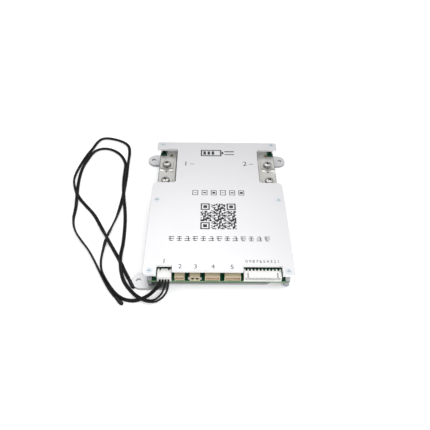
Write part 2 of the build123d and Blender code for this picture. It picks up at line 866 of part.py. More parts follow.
# Three small side-entry sockets with cheeks that stand proud of the mouth
for name, x, width, ways in socket_rows:
    with BuildPart() as socket:
        with BuildSketch(Plane.XY.offset(board_top)):
            with Locations((x, socket_front_y + socket_cheek + (socket_l - socket_cheek) / 2)):
                Rectangle(width, socket_l - socket_cheek)
            with Locations((x, socket_front_y + socket_l / 2)):
                with GridLocations(width - socket_wall, 0, 2, 1):
                    Rectangle(socket_wall, socket_l)
        extrude(amount=socket_h)
        with BuildSketch(Plane.XZ.offset(-socket_front_y)):
            with Locations((x, (socket_mouth_low + socket_mouth_high) / 2)):
                Rectangle(width - 2 * socket_wall, socket_mouth_high - socket_mouth_low)
        extrude(amount=-socket_mouth, mode=Mode.SUBTRACT)
    write(socket, name)

with BuildPart() as socket_contacts:
    for name, x, width, ways in socket_rows:
        with BuildSketch(Plane.XY.offset(socket_mouth_low)):
            with Locations(*[(x + (i - (ways - 1) / 2) * socket_pitch, contact_y) for i in range(ways)]):
                Rectangle(contact_w, contact_l)
        extrude(amount=contact_t)
write(socket_contacts, "socket_contacts")

# Antenna socket: two keyed square mouths and a solder tab at each side
with BuildPart() as gps_socket:
    with BuildSketch(Plane.XY.offset(board_top)):
        with Locations((gps_x, socket_front_y + socket_l / 2)):
            Rectangle(gps_body_w, socket_l)
    extrude(amount=socket_h)
    with BuildSketch(Plane.XZ.offset(-socket_front_y)):
        with Locations((gps_x, gps_mouth_z)):
            with GridLocations(gps_mouth_pitch, 0, 2, 1):
                Rectangle(gps_mouth_w, gps_mouth_h)
        with Locations((gps_x, gps_key_z)):
            with GridLocations(gps_mouth_pitch, 0, 2, 1):
                Rectangle(gps_key_w, gps_key_h)
    extrude(amount=-socket_mouth, mode=Mode.SUBTRACT)
write(gps_socket, "gps_socket")

with BuildPart() as gps_side_tabs:
    with BuildSketch(Plane.XZ.offset(-socket_front_y - gps_tab_in)):
        with Locations((gps_x, board_top + gps_tab_h / 2)):
            with GridLocations(gps_body_w + gps_tab_w, 0, 2, 1):
                Rectangle(gps_tab_w, gps_tab_h)
                Circle(gps_tab_hole_d / 2, mode=Mode.SUBTRACT)
    extrude(amount=-gps_tab_l)
write(gps_side_tabs, "gps_side_tabs")

# Power stage: transistors hang under the board and press on the pad that lies on the base plate
with BuildPart() as power_transistors:
    with BuildSketch(Plane.XY.offset(board_low)):
        with Locations(*fet_points):
            Rectangle(fet_w, fet_l)
    extrude(amount=-fet_h)
    chamfer(faces().group_by(Axis.Z)[0].edges(), fet_edge)
write(power_transistors, "power_transistors")

with BuildPart() as transistor_leads:
    with BuildSketch(Plane.XY.offset(board_low)):
        for x, y in fet_points:
            with Locations((x, y - (fet_l + fet_lead_l) / 2)):
                with GridLocations(fet_lead_pitch, 0, fet_leads, 1):
                    Rectangle(fet_lead_w, fet_lead_l)
            with Locations((x, y + (fet_l + fet_tab_l) / 2)):
                Rectangle(fet_w - 2 * fet_edge, fet_tab_l)
    extrude(amount=-fet_lead_h)
write(transistor_leads, "transistor_leads")

with BuildPart() as heat_pad:
    with BuildSketch(Plane.XY.offset(base_t)):
        with Locations((0, fet_middle_y)):
            RectangleRounded(
                fet_columns * fet_pitch_x + 2 * pad_margin,
                fet_rows * fet_pitch_y + 2 * pad_margin,
                pad_corner,
            )
    extrude(amount=lower_gap - fet_h)
write(heat_pad, "heat_pad")

# Copper plates between the terminal bars, bridged by a column of shunt resistors
for side, name in ((-1, "left_copper_plate"), (1, "right_copper_plate")):
    with BuildPart() as copper_plate:
        with BuildSketch(Plane.XY.offset(board_top)):
            with Locations((side * (plate_in + bar_in) / 2, plate_y)):
                RectangleRounded(bar_in - plate_in, plate_l, plate_corner)
                with GridLocations(0, plate_slot_pitch, 1, plate_slots):
                    SlotOverall(plate_slot_l, plate_slot_w, mode=Mode.SUBTRACT)
        extrude(amount=plate_t)
    write(copper_plate, name)

with BuildPart() as shunt_resistors:
    with BuildSketch(Plane.XY.offset(board_top)):
        with Locations((0, plate_y)):
            with GridLocations(0, shunt_pitch, 1, shunt_count):
                Rectangle(shunt_w, shunt_l)
    extrude(amount=shunt_h)
    chamfer(faces().group_by(Axis.Z)[-1].edges(), shunt_edge)
write(shunt_resistors, "shunt_resistors")

# Controller chip with leads on four sides, monitor chip with leads on two
with BuildPart() as control_chips:
    with BuildSketch(Plane.XY.offset(board_top + chip_foot)):
        with Locations((chip_x, chip_y)):
            Rectangle(chip_w, chip_w)
        with Locations((monitor_x, monitor_y)):
            Rectangle(monitor_w, monitor_l)
    extrude(amount=chip_h)
    chamfer(faces().group_by(Axis.Z)[-1].edges(), chip_edge)
write(control_chips, "control_chips")

with BuildPart() as chip_leads:
    with BuildSketch(Plane.XY.offset(board_top)):
        with Locations((chip_x, chip_y)):
            with GridLocations(chip_w + chip_lead_l, chip_lead_pitch, 2, chip_lead_count):
                Rectangle(chip_lead_l, chip_lead_w)
            with GridLocations(chip_lead_pitch, chip_w + chip_lead_l, chip_lead_count, 2):
                Rectangle(chip_lead_w, chip_lead_l)
        with Locations((monitor_x, monitor_y)):
            with GridLocations(monitor_w + chip_lead_l, chip_lead_pitch, 2, monitor_lead_count):
                Rectangle(chip_lead_l, chip_lead_w)
    extrude(amount=chip_foot + chip_lead_rise)
write(chip_leads, "chip_leads")

# Radio module: a small board of its own under a shield can
with BuildPart() as radio_board:
    with BuildSketch(Plane.XY.offset(board_top)):
        with Locations((radio_x, radio_y)):
            Rectangle(radio_w, radio_l)
    extrude(amount=radio_t)
write(radio_board, "radio_board")

with BuildPart() as radio_shield:
    with BuildSketch(Plane.XY.offset(board_top + radio_t)):
        with Locations((radio_x, radio_y - (radio_l - shield_l) / 2 + shield_in)):
            RectangleRounded(shield_w, shield_l, shield_corner)
    extrude(amount=shield_h)
write(radio_shield, "radio_shield")

# Power inductor and three can capacitors
with BuildPart() as power_inductor:
    with BuildSketch(Plane.XY.offset(board_top)):
        with Locations((coil_x, coil_y)):
            RectangleRounded(coil_w, coil_w, coil_corner)
    extrude(amount=coil_h)
    with BuildSketch(Plane.XY.offset(board_top + coil_h)):
        with Locations((coil_x, coil_y)):
            Circle(coil_core_d / 2)
    extrude(amount=coil_core_h)
write(power_inductor, "power_inductor")

with BuildPart() as filter_capacitors:
    with BuildSketch(Plane.XY.offset(board_top)):
        with Locations(*capacitor_points):
            Rectangle(capacitor_base_w, capacitor_base_w)
    extrude(amount=capacitor_base_h)
    with BuildSketch(Plane.XY.offset(board_top + capacitor_base_h)):
        with Locations(*capacitor_points):
            Circle(capacitor_d / 2)
    extrude(amount=capacitor_h - capacitor_base_h)
write(filter_capacitors, "filter_capacitors")

# Balancing resistors in a block behind the cell header
with BuildPart() as balancing_resistors:
    with BuildSketch(Plane.XY.offset(board_top)):
        with Locations((cell_x, bleed_y)):
            with GridLocations(bleed_pitch_x, bleed_pitch_y, bleed_columns, bleed_rows):
                Rectangle(bleed_w, bleed_l)
    extrude(amount=bleed_h)
write(balancing_resistors, "balancing_resistors")

# Thermistor leads, each a plain tube along its route, and the bead at its end
for name, exit_x, route in (("a", temp_x + temp_pitch, route_a), ("b", temp_x - temp_pitch, route_b)):
    points = lead_points(exit_x, route)
    radii = corner_radii(points)
    print(f"lead {name} radii:", *[f"{radius:.1f}" for radius in radii])
    with BuildPart() as thermistor_lead:
        with BuildLine() as path:
            FilletPolyline(*points, radius=radii)
        with BuildSketch(Plane(origin=path.line @ 0, z_dir=path.line % 0)):
            Circle(lead_d / 2)
        sweep()
    run = path.wire().length
    filled = thermistor_lead.part.volume / (run * pi * (lead_d / 2) ** 2)
    print(f"lead {name}: length {run:.1f}, volume over section times length {filled:.4f}")
    write(thermistor_lead, f"thermistor_lead_{name}")

    start = Vector(points[-1])
    along = start - Vector(points[-2])
    with BuildPart() as thermistor_bead:
        with BuildSketch(Plane(origin=start, x_dir=along, z_dir=(0, 0, 1))):
            with BuildLine():
                Polyline((0, 0), (0, lead_d / 2), (bead_neck, bead_d / 2), (bead_l - bead_d / 2, bead_d / 2))
                RadiusArc((bead_l - bead_d / 2, bead_d / 2), (bead_l, 0), bead_d / 2)
                Line((bead_l, 0), (0, 0))
            make_face()
        revolve(axis=Axis(start, along))
    write(thermistor_bead, f"thermistor_bead_{name}")
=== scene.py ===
import json
import math

import bpy
from mathutils import Matrix, Vector


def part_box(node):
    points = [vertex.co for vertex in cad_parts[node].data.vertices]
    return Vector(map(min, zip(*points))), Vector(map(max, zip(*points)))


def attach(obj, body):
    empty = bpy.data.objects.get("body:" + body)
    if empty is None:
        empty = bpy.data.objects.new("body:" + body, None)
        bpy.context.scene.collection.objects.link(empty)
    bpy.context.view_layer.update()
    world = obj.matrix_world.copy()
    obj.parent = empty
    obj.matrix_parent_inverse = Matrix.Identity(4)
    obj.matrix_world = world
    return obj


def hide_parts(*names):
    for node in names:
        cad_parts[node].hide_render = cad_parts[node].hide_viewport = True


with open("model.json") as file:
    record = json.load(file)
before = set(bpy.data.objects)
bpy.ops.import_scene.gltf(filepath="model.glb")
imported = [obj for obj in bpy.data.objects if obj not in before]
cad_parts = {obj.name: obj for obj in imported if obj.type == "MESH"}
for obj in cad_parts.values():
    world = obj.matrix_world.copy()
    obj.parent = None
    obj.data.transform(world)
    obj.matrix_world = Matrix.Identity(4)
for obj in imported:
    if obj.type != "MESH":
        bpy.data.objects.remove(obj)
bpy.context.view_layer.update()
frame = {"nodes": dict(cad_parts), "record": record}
nodes = frame["nodes"]

# Battery management board: a silver cover sheet, a green circuit board and a base plate in one stack.
# X to the right, Y to the rear, Z up. Lengths are given in millimetres and multiplied by MM.
MM = 0.001


def low(node):
    """Lowest corner of a node of the frame, in millimetres."""
    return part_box(node)[0] / MM


def high(node):
    """Highest corner of a node of the frame, in millimetres."""
    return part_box(node)[1] / MM


# Levels and edges, from the frame
cover_top = high("top_cover").z
board_top = high("circuit_board").z
board_corner = high("circuit_board")
header_left = low("cell_header").x
header_right = high("cell_header").x

# Camera
CAMERA_PLACE = (-8.355, -270.889, 281.134)
CAMERA_YAW = 1.330
CAMERA_PITCH = 46.046
CAMERA_ROLL = 1.359
SENSOR = 36.0
PHOTO_WIDTH = 430.0
FOCAL_PIXELS = 477.68

# Sky: its strength low down and overhead, how much darker it is behind the camera, and where each
# change starts and ends, as the upward or rearward share of a direction
SKY_LOW = 0.17
SKY_HIGH = 1.345
SKY_RISE_START, SKY_RISE_END = 0.5, 0.81
SKY_FRONT_SHADE = 0.85
SKY_SHADE_START, SKY_SHADE_END = -0.55, 0.1

# Lamps: power in watts, size and place in millimetres
KEY_POWER = 0.42
KEY_SIZE = 400.0
KEY_PLACE = (-40.0, 360.0, 610.0)
FILL_POWER = 4.2
FILL_SIZE = 700.0
FILL_PLACE = (160.0, -620.0, 420.0)

# Floor: its own light beside the board and far off, and how far from the board each one starts
FLOOR_SIZE = 8000.0
FLOOR_DOWN = 0.2
FLOOR_COLOUR = (0.9, 0.9, 0.91)
GLOW_NEAR = 0.36
GLOW_FAR = 0.04
GLOW_START = -12.0
GLOW_FULL = 0.0
FAR_START = 30.0
FAR_FULL = 110.0

# Print on the cover
INK_GAP = 0.005
INK_DEPTH = 0.01
# Height of a figure as a share of its type size
FIGURE_SHARE = 0.7

# Vertices closer than this are one, and faces that meet at more than this many degrees keep an edge
MERGE_MM = 0.0005
SHARP_ANGLE = 35.0

# Leads: two round strands side by side, and an epoxy bead at the end
STRAND_D = 1.42
STRAND_APART = 1.4
LEAD_GAP = 0.1
BENCH_GAP = 0.12
BEAD_L = 9.8
BEAD_W = 3.3
BEAD_H = 2.3


def shader_group(name, inputs, outputs):
    """A shader node group with named sockets, and its input and output nodes."""
    group = bpy.data.node_groups.new(name, "ShaderNodeTree")
    for label, kind, value in inputs:
        socket = group.interface.new_socket(name=label, in_out="INPUT", socket_type=kind)
        socket.default_value = value
    for label, kind in outputs:
        group.interface.new_socket(name=label, in_out="OUTPUT", socket_type=kind)
    return group, group.nodes.new("NodeGroupInput"), group.nodes.new("NodeGroupOutput")


def math_node(tree, operation, first, second=None, clamp=False):
    """A math node whose inputs are numbers or sockets; returns its output socket."""
    node = tree.nodes.new("ShaderNodeMath")
    node.operation = operation
    node.use_clamp = clamp
    for socket, value in zip(node.inputs, (first, second)):
        if value is None:
            continue
        if isinstance(value, bpy.types.NodeSocket):
            tree.links.new(value, socket)
        else:
            socket.default_value = value
    return node.outputs[0]


def noise_node(tree, place, scale, detail, roughness=0.5):
    """A noise texture over a place socket; returns its value, about 0.5 in the middle."""
    node = tree.nodes.new("ShaderNodeTexNoise")
    tree.links.new(place, node.inputs["Vector"])
    if isinstance(scale, bpy.types.NodeSocket):
        tree.links.new(scale, node.inputs["Scale"])
    else:
        node.inputs["Scale"].default_value = scale
    node.inputs["Detail"].default_value = detail
    node.inputs["Roughness"].default_value = roughness
    return node.outputs["Fac"]


def ramp(tree, value, start, end, low, high):
    """A smooth ramp: low up to start, high from end on."""
    node = tree.nodes.new("ShaderNodeMapRange")
    node.interpolation_type = "SMOOTHSTEP"
    tree.links.new(value, node.inputs["Value"])
    for label, number in (("From Min", start), ("From Max", end), ("To Min", low), ("To Max", high)):
        node.inputs[label].default_value = number
    return node.outputs["Result"]


def make_surface_grain():
    """Fine grain and broad clouds: a tone about 1, a roughness change about 0 and a height."""
    group, given, result = shader_group(
        "surface_grain",
        [
            ("Grain Scale", "NodeSocketFloat", 2000.0),
            ("Grain Tone", "NodeSocketFloat", 0.03),
            ("Cloud Scale", "NodeSocketFloat", 40.0),
            ("Cloud Tone", "NodeSocketFloat", 0.03),
            ("Roughness Change", "NodeSocketFloat", 0.08),
        ],
        [("Tone", "NodeSocketFloat"), ("Roughness", "NodeSocketFloat"), ("Height", "NodeSocketFloat")],
    )
    place = group.nodes.new("ShaderNodeTexCoord").outputs["Object"]
    grain = noise_node(group, place, given.outputs["Grain Scale"], 3.0, 0.6)
    cloud = noise_node(group, place, given.outputs["Cloud Scale"], 4.0, 0.55)
    grain_off = math_node(group, "SUBTRACT", grain, 0.5)
    cloud_off = math_node(group, "SUBTRACT", cloud, 0.5)
    grain_part = math_node(group, "MULTIPLY", grain_off, given.outputs["Grain Tone"])
    cloud_part = math_node(group, "MULTIPLY", cloud_off, given.outputs["Cloud Tone"])
    tone = math_node(group, "ADD", math_node(group, "ADD", grain_part, cloud_part), 1.0)
    both = math_node(group, "ADD", grain_off, cloud_off)
    group.links.new(tone, result.inputs["Tone"])
    rougher = math_node(group, "MULTIPLY", both, given.outputs["Roughness Change"])
    group.links.new(rougher, result.inputs["Roughness"])
    group.links.new(grain, result.inputs["Height"])
    return group


def make_drawn_lines():
    """Fine lines that run one way, as rolling or drawing leaves on metal; the stretch sets the way."""
    group, given, result = shader_group(
        "drawn_lines",
        [("Stretch", "NodeSocketVector", (60.0, 2400.0, 2400.0))],
        [("Tone", "NodeSocketFloat"), ("Height", "NodeSocketFloat")],
    )
    place = group.nodes.new("ShaderNodeTexCoord").outputs["Object"]
    stretched = group.nodes.new("ShaderNodeVectorMath")
    stretched.operation = "MULTIPLY"
    group.links.new(place, stretched.inputs[0])
    group.links.new(given.outputs["Stretch"], stretched.inputs[1])
    lines = noise_node(group, stretched.outputs[0], 1.0, 3.0, 0.6)
    tone = math_node(group, "ADD", math_node(group, "SUBTRACT", lines, 0.5), 1.0)
    group.links.new(tone, result.inputs["Tone"])
    group.links.new(lines, result.inputs["Height"])
    return group


# A face whose normal points upward by less than this share counts as an edge
EDGE_UPWARD = 0.8


def make_edge_faces():
    """A mask of upright and sloping faces, such as the sawn edge of a board or a chamfer."""
    group, _, result = shader_group("edge_faces", [], [("Mask", "NodeSocketFloat")])
    normal = group.nodes.new("ShaderNodeNewGeometry").outputs["Normal"]
    split = group.nodes.new("ShaderNodeSeparateXYZ")
    group.links.new(normal, split.inputs[0])
    upward = math_node(group, "ABSOLUTE", split.outputs["Z"])
    upright = math_node(group, "LESS_THAN", upward, EDGE_UPWARD)
    group.links.new(upright, result.inputs["Mask"])
    return group


# Board tracks: width of a track in its wave, shares of patches with tracks across, along or poured over
TRACK_EDGE = 0.62
ACROSS_BELOW, ALONG_ABOVE, POURED_ABOVE = 0.34, 0.66, 0.78
VIA_SCALE, VIA_RADIUS = 260.0, 0.09


def make_board_tracks():
    """Copper tracks under a solder mask: patches of lines either way, poured areas and vias."""
    group, given, result = shader_group(
        "board_tracks",
        [("Patch Scale", "NodeSocketFloat", 130.0), ("Track Scale", "NodeSocketFloat", 620.0)],
        [("Tracks", "NodeSocketFloat"), ("Vias", "NodeSocketFloat")],
    )
    place = group.nodes.new("ShaderNodeTexCoord").outputs["Object"]
    patches = group.nodes.new("ShaderNodeTexVoronoi")
    patches.distance = "CHEBYCHEV"
    group.links.new(place, patches.inputs["Vector"])
    group.links.new(given.outputs["Patch Scale"], patches.inputs["Scale"])
    patch = group.nodes.new("ShaderNodeSeparateColor")
    group.links.new(patches.outputs["Color"], patch.inputs[0])
    runs = []
    for direction in ("X", "Y"):
        wave = group.nodes.new("ShaderNodeTexWave")
        wave.wave_type = "BANDS"
        wave.bands_direction = direction
        group.links.new(place, wave.inputs["Vector"])
        group.links.new(given.outputs["Track Scale"], wave.inputs["Scale"])
        runs.append(math_node(group, "GREATER_THAN", wave.outputs["Fac"], TRACK_EDGE))
    one_way = math_node(group, "LESS_THAN", patch.outputs[0], ACROSS_BELOW)
    across = math_node(group, "MULTIPLY", runs[0], one_way)
    other_way = math_node(group, "GREATER_THAN", patch.outputs[0], ALONG_ABOVE)
    along = math_node(group, "MULTIPLY", runs[1], other_way)
    poured = math_node(group, "GREATER_THAN", patch.outputs[1], POURED_ABOVE)
    tracks = math_node(group, "MAXIMUM", math_node(group, "MAXIMUM", across, along), poured)
    group.links.new(tracks, result.inputs["Tracks"])
    holes = group.nodes.new("ShaderNodeTexVoronoi")
    group.links.new(place, holes.inputs["Vector"])
    holes.inputs["Scale"].default_value = VIA_SCALE
    vias = math_node(group, "LESS_THAN", holes.outputs["Distance"], VIA_RADIUS)
    group.links.new(vias, result.inputs["Vias"])
    return group


surface_grain = make_surface_grain()
drawn_lines = make_drawn_lines()
edge_faces = make_edge_faces()
board_tracks = make_board_tracks()


def place_group(tree, group, **values):
    """A node group placed in a material, with its own values."""
    node = tree.nodes.new("ShaderNodeGroup")
    node.node_tree = group
    for label, value in values.items():
        node.inputs[label.replace("_", " ").title()].default_value = value
    return node


def mixed(tree, factor, first, second, blend="MIX"):
    """A colour mix; each of its inputs is a colour or a socket."""
    node = tree.nodes.new("ShaderNodeMix")
    node.data_type = "RGBA"
    node.blend_type = blend
    for socket, value in zip((node.inputs[0], node.inputs[6], node.inputs[7]), (factor, first, second)):
        if isinstance(value, bpy.types.NodeSocket):
            tree.links.new(value, socket)
        elif isinstance(value, tuple):
            socket.default_value = (*value, 1.0)
        else:
            socket.default_value = value
    return node.outputs[2]


SOCKET_NAMES = {"specular_ior_level": "Specular IOR Level"}


def new_finish(name, metallic, roughness, colour=None, grain=None, bump=0.0, bump_mm=0.02, **sockets):
    """A Principled material: tone and roughness from the grain, and a bump from its height."""
    material = bpy.data.materials.new(name)
    material.use_nodes = True
    tree = material.node_tree
    shader = tree.nodes["Principled BSDF"]
    shader.inputs["Metallic"].default_value = metallic
    for label, value in sockets.items():
        shader.inputs[SOCKET_NAMES[label]].default_value = value
    grain_node = place_group(tree, surface_grain, **(grain or {}))
    if colour is not None:
        toned = mixed(tree, 1.0, colour, grain_node.outputs["Tone"], "MULTIPLY")
        tree.links.new(toned, shader.inputs["Base Color"])
    rougher = math_node(tree, "ADD", grain_node.outputs["Roughness"], roughness, clamp=True)
    tree.links.new(rougher, shader.inputs["Roughness"])
    if bump > 0:
        bump_node = tree.nodes.new("ShaderNodeBump")
        bump_node.inputs["Strength"].default_value = bump
        bump_node.inputs["Distance"].default_value = bump_mm * MM
        tree.links.new(grain_node.outputs["Height"], bump_node.inputs["Height"])
        tree.links.new(bump_node.outputs["Normal"], shader.inputs["Normal"])
    return material, tree, shader, grain_node


# Sheets: how metallic their faces and cut edges look, and how strong the drawn lines are
SHEET_METALLIC, EDGE_METALLIC = 0.75, 0.25
DRAWN_LINES = 0.05
LINES_ALONG_X = (60.0, 2400.0, 2400.0)
LINES_ALONG_Y = (2400.0, 60.0, 2400.0)


def sheet_metal(name, colour, edge_tone_and_painted_light, stretch):
    """Satin anodised sheet: finely blasted, a trace of rolling, and another tone on its cut edges and
    chamfers that is partly the bare cut metal and partly painted light: a painted highlight where it is
    paler, painted shade where it is darker.
    """
    material, tree, shader, grain = new_finish(
        name,
        metallic=SHEET_METALLIC,
        roughness=0.42,
        grain={
            "grain_scale": 3200.0,
            "grain_tone": 0.05,
            "cloud_scale": 28.0,
            "cloud_tone": 0.05,
            "roughness_change": 0.12,
        },
        bump=0.25,
        bump_mm=0.015,
    )
    lines = place_group(tree, drawn_lines, stretch=stretch)
    edges = place_group(tree, edge_faces).outputs["Mask"]
    # Upright and sloping faces take the edge tone, which is partly painted light and shade
    both = mixed(tree, edges, colour, edge_tone_and_painted_light)
    toned = mixed(tree, 1.0, both, grain.outputs["Tone"], "MULTIPLY")
    drawn = mixed(tree, DRAWN_LINES, toned, lines.outputs["Tone"], "MULTIPLY")
    tree.links.new(drawn, shader.inputs["Base Color"])
    less = math_node(tree, "MULTIPLY", edges, SHEET_METALLIC - EDGE_METALLIC)
    tree.links.new(math_node(tree, "SUBTRACT", SHEET_METALLIC, less), shader.inputs["Metallic"])
    return material


def plated_metal(name, colour, roughness, metallic=1.0, cloud_tone=0.12, grain_scale=1500.0, bump=0.2):
    """Plated steel or tin, less metallic where it is dull: cloudy tone and a fine uneven surface."""
    return new_finish(
        name,
        metallic=metallic,
        roughness=roughness,
        colour=colour,
        grain={
            "grain_scale": grain_scale,
            "grain_tone": 0.08,
            "cloud_scale": 260.0,
            "cloud_tone": cloud_tone,
            "roughness_change": 0.25,
        },
        bump=bump,
        bump_mm=0.03,
    )[0]


def moulded(name, colour, roughness, **sockets):
    """Moulded plastic: a faint eroded-mould texture and a slight cloud in the colour."""
    return new_finish(
        name,
        metallic=0.0,
        roughness=roughness,
        colour=colour,
        grain={
            "grain_scale": 2600.0,
            "grain_tone": 0.05,
            "cloud_scale": 180.0,
            "cloud_tone": 0.06,
            "roughness_change": 0.12,
        },
        bump=0.2,
        bump_mm=0.02,
        **sockets,
    )[0]


# Board colours
MASK_GREEN, TRACK_GREEN = (0.002, 0.055, 0.022), (0.005, 0.092, 0.036)
VIA_GREEN, LAMINATE = (0.05, 0.20, 0.09), (0.10, 0.23, 0.09)


def masked_board():
    """Green solder mask with tracks under it, and the pale laminate on the sawn edges."""
    material, tree, shader, grain = new_finish(
        "solder_mask",
        metallic=0.0,
        roughness=0.32,
        grain={
            "grain_scale": 900.0,
            "grain_tone": 0.08,
            "cloud_scale": 60.0,
            "cloud_tone": 0.1,
            "roughness_change": 0.1,
        },
        bump=0.1,
    )
    tracks = place_group(tree, board_tracks)
    edges = place_group(tree, edge_faces)
    green = mixed(tree, tracks.outputs["Tracks"], MASK_GREEN, TRACK_GREEN)
    drilled = mixed(tree, tracks.outputs["Vias"], green, VIA_GREEN)
    edged = mixed(tree, edges.outputs["Mask"], drilled, LAMINATE)
    toned = mixed(tree, 1.0, edged, grain.outputs["Tone"], "MULTIPLY")
    tree.links.new(toned, shader.inputs["Base Color"])
    shader.inputs["Coat Weight"].default_value = 0.3
    shader.inputs["Coat Roughness"].default_value = 0.2
    return material


finishes = {
    # The second colour of each sheet is its edge tone: the cover's paler one is partly a painted
    # highlight on its edges and chamfers, the base plate's darker one is partly painted shade
    "cover_metal": sheet_metal("cover_metal", (0.80, 0.798, 0.815), (0.93, 0.93, 0.94), LINES_ALONG_X),
    "base_metal": sheet_metal("base_metal", (0.71, 0.71, 0.725), (0.42, 0.42, 0.43), LINES_ALONG_Y),
    "solder_mask": masked_board(),
    "spacer_metal": plated_metal("spacer_metal", (0.36, 0.37, 0.38), 0.18),
    "screw_steel": plated_metal("screw_steel", (0.71, 0.77, 0.81), 0.42, metallic=0.6, bump=0.1),
    "tinned_copper": plated_metal(
        "tinned_copper", (0.60, 0.595, 0.57), 0.42, metallic=0.6, cloud_tone=0.3, grain_scale=700.0
    ),
    "terminal_steel": plated_metal("terminal_steel", (0.62, 0.61, 0.585), 0.36),
    "solder": plated_metal("solder", (0.97, 0.955, 0.90), 0.5, metallic=0.3, bump=0.3),
    "brass": plated_metal("brass", (0.42, 0.36, 0.20), 0.4),
    "copper": plated_metal("copper", (0.055, 0.075, 0.05), 0.5, cloud_tone=0.5, grain_scale=500.0),
    "header_white": moulded("header_white", (0.92, 0.92, 0.90), 0.4),
    "plug_white": moulded("plug_white", (0.90, 0.89, 0.86), 0.42),
    "socket_beige": moulded("socket_beige", (0.58, 0.505, 0.35), 0.42),
    "contact_metal": plated_metal("contact_metal", (0.86, 0.62, 0.49), 0.5, metallic=0.3),
    "pin_tin": plated_metal("pin_tin", (0.55, 0.54, 0.54), 0.3),
    "moulded_black": moulded("moulded_black", (0.018, 0.018, 0.020), 0.5),
    "pad_grey": moulded("pad_grey", (0.24, 0.30, 0.36), 0.85),
    "shield_metal": plated_metal("shield_metal", (0.66, 0.66, 0.64), 0.35),
    "capacitor_can": plated_metal("capacitor_can", (0.70, 0.71, 0.73), 0.3),
    "lead_black": moulded("lead_black", (0.010, 0.010, 0.011), 0.5, specular_ior_level=0.28),
    "bead_black": moulded("bead_black", (0.006, 0.006, 0.007), 0.3, specular_ior_level=0.3),
}
ink = moulded("print_ink", (0.030, 0.030, 0.034), 0.6)

node_slots = {entry["node"]: entry["material_slot"] for entry in frame["record"]["subparts"]}


def dress(piece, material):
    """Gives a piece one material in all its slots."""
    piece.data.materials.clear()
    piece.data.materials.append(material)


for node, obj in nodes.items():
    dress(obj, finishes[node_slots[node]])


def select_only(*objects):
    """Deselects everything and selects these, the last one active."""
    if bpy.context.mode != "OBJECT":
        bpy.ops.object.mode_set(mode="OBJECT")
    bpy.ops.object.select_all(action="DESELECT")
    for obj in objects:
        obj.select_set(True)
        bpy.context.view_layer.objects.active = obj


def settle(piece, material):
    """Leaves a finished piece at the origin, in its material, riding on the board."""
    select_only(piece)
    bpy.ops.object.transform_apply(location=True, rotation=True, scale=True)
    dress(piece, material)
    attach(piece, "root")
    return piece


def joined(parts, name):
    """Joins separate parts into one named piece."""
    select_only(*parts)
    bpy.ops.object.join()
    piece = bpy.context.view_layer.objects.active
    piece.name = name
    return piece


def extrude(step):
    """Extrudes what is selected in edit mode by a step in metres."""
    bpy.ops.mesh.extrude_region_move(TRANSFORM_OT_translate={"value": step})


def block(place, size, turn=0.0):
    """A plain block of a size in millimetres about a place, turned by some degrees."""
    select_only()
    bpy.ops.mesh.primitive_cube_add(size=1.0, location=Vector(place) * MM)
    piece = bpy.context.object
    piece.scale = Vector(size) * MM
    piece.rotation_euler.z = math.radians(turn)
    bpy.ops.object.transform_apply(location=True, rotation=True, scale=True)
    return piece


def cut(piece, cutter):
    """Cuts one piece out of another and removes the cutter."""
    hollow = piece.modifiers.new("cut", "BOOLEAN")
    hollow.object = cutter
    hollow.operation = "DIFFERENCE"
    hollow.solver = "EXACT"
    select_only(piece)
    bpy.ops.object.modifier_apply(modifier=hollow.name)
    bpy.data.objects.remove(cutter)


def select_faces(piece, wanted):
    """In edit mode, selects the faces of a piece that a test wants, and no others."""
    bpy.ops.object.mode_set(mode="EDIT")
    bpy.ops.mesh.select_mode(type="FACE")
    bpy.ops.mesh.select_all(action="DESELECT")
    bpy.ops.object.mode_set(mode="OBJECT")
    for face in piece.data.polygons:
        face.select = wanted(face)
    bpy.ops.object.mode_set(mode="EDIT")


def leave_edit_mode():
    """Back to object mode, with vertices as what the next edit selects."""
    bpy.ops.mesh.select_mode(type="VERT")
    bpy.ops.object.mode_set(mode="OBJECT")


# Facets of a curved face lean by less than this many degrees from one to the next in a flat face
FLAT_ANGLE = 0.5


def softened(node, width, segments=2):
    """A copy of a node with whole faces and rounded edges, which stands for the node."""
    piece = bpy.data.objects.new(node + "_soft", nodes[node].data.copy())
    bpy.context.scene.collection.objects.link(piece)
    select_only(piece)
    bpy.ops.object.mode_set(mode="EDIT")
    bpy.ops.mesh.select_all(action="SELECT")
    bpy.ops.mesh.remove_doubles(threshold=MERGE_MM * MM)
    bpy.ops.mesh.dissolve_limited(angle_limit=math.radians(FLAT_ANGLE))
    bpy.ops.object.mode_set(mode="OBJECT")
    bpy.ops.object.shade_smooth_by_angle(angle=math.radians(SHARP_ANGLE))
    bevel = piece.modifiers.new("edge_rounding", "BEVEL")
    bevel.width = width * MM
    bevel.segments = segments
    bevel.limit_method = "ANGLE"
    bevel.angle_limit = math.radians(SHARP_ANGLE)
    bevel.use_clamp_overlap = True
    bevel.harden_normals = True
    bpy.ops.object.modifier_apply(modifier=bevel.name)
    settle(piece, finishes[node_slots[node]])
    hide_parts(node)
    return piece


# (node, width of its rounded edges)
ROUNDED_EDGES = (
    ("cell_header", 0.14),
    ("temperature_header", 0.14),
    ("temperature_plug", 0.12),
    ("data_socket", 0.1),
    ("display_socket", 0.1),
    ("heater_socket", 0.1),
    ("gps_socket", 0.1),
    ("clamp_plates", 0.12),
    ("upper_spacers", 0.06),
    ("lower_spacers", 0.06),
    ("terminal_washers", 0.08),
    ("terminal_posts", 0.1),
    ("cover_screws", 0.05),
    ("foot_screw", 0.1),
    ("power_inductor", 0.15),
    ("filter_capacitors", 0.1),
    ("radio_shield", 0.08),
    ("control_chips", 0.06),
)
softened_pieces = {node: softened(node, width) for node, width in ROUNDED_EDGES}


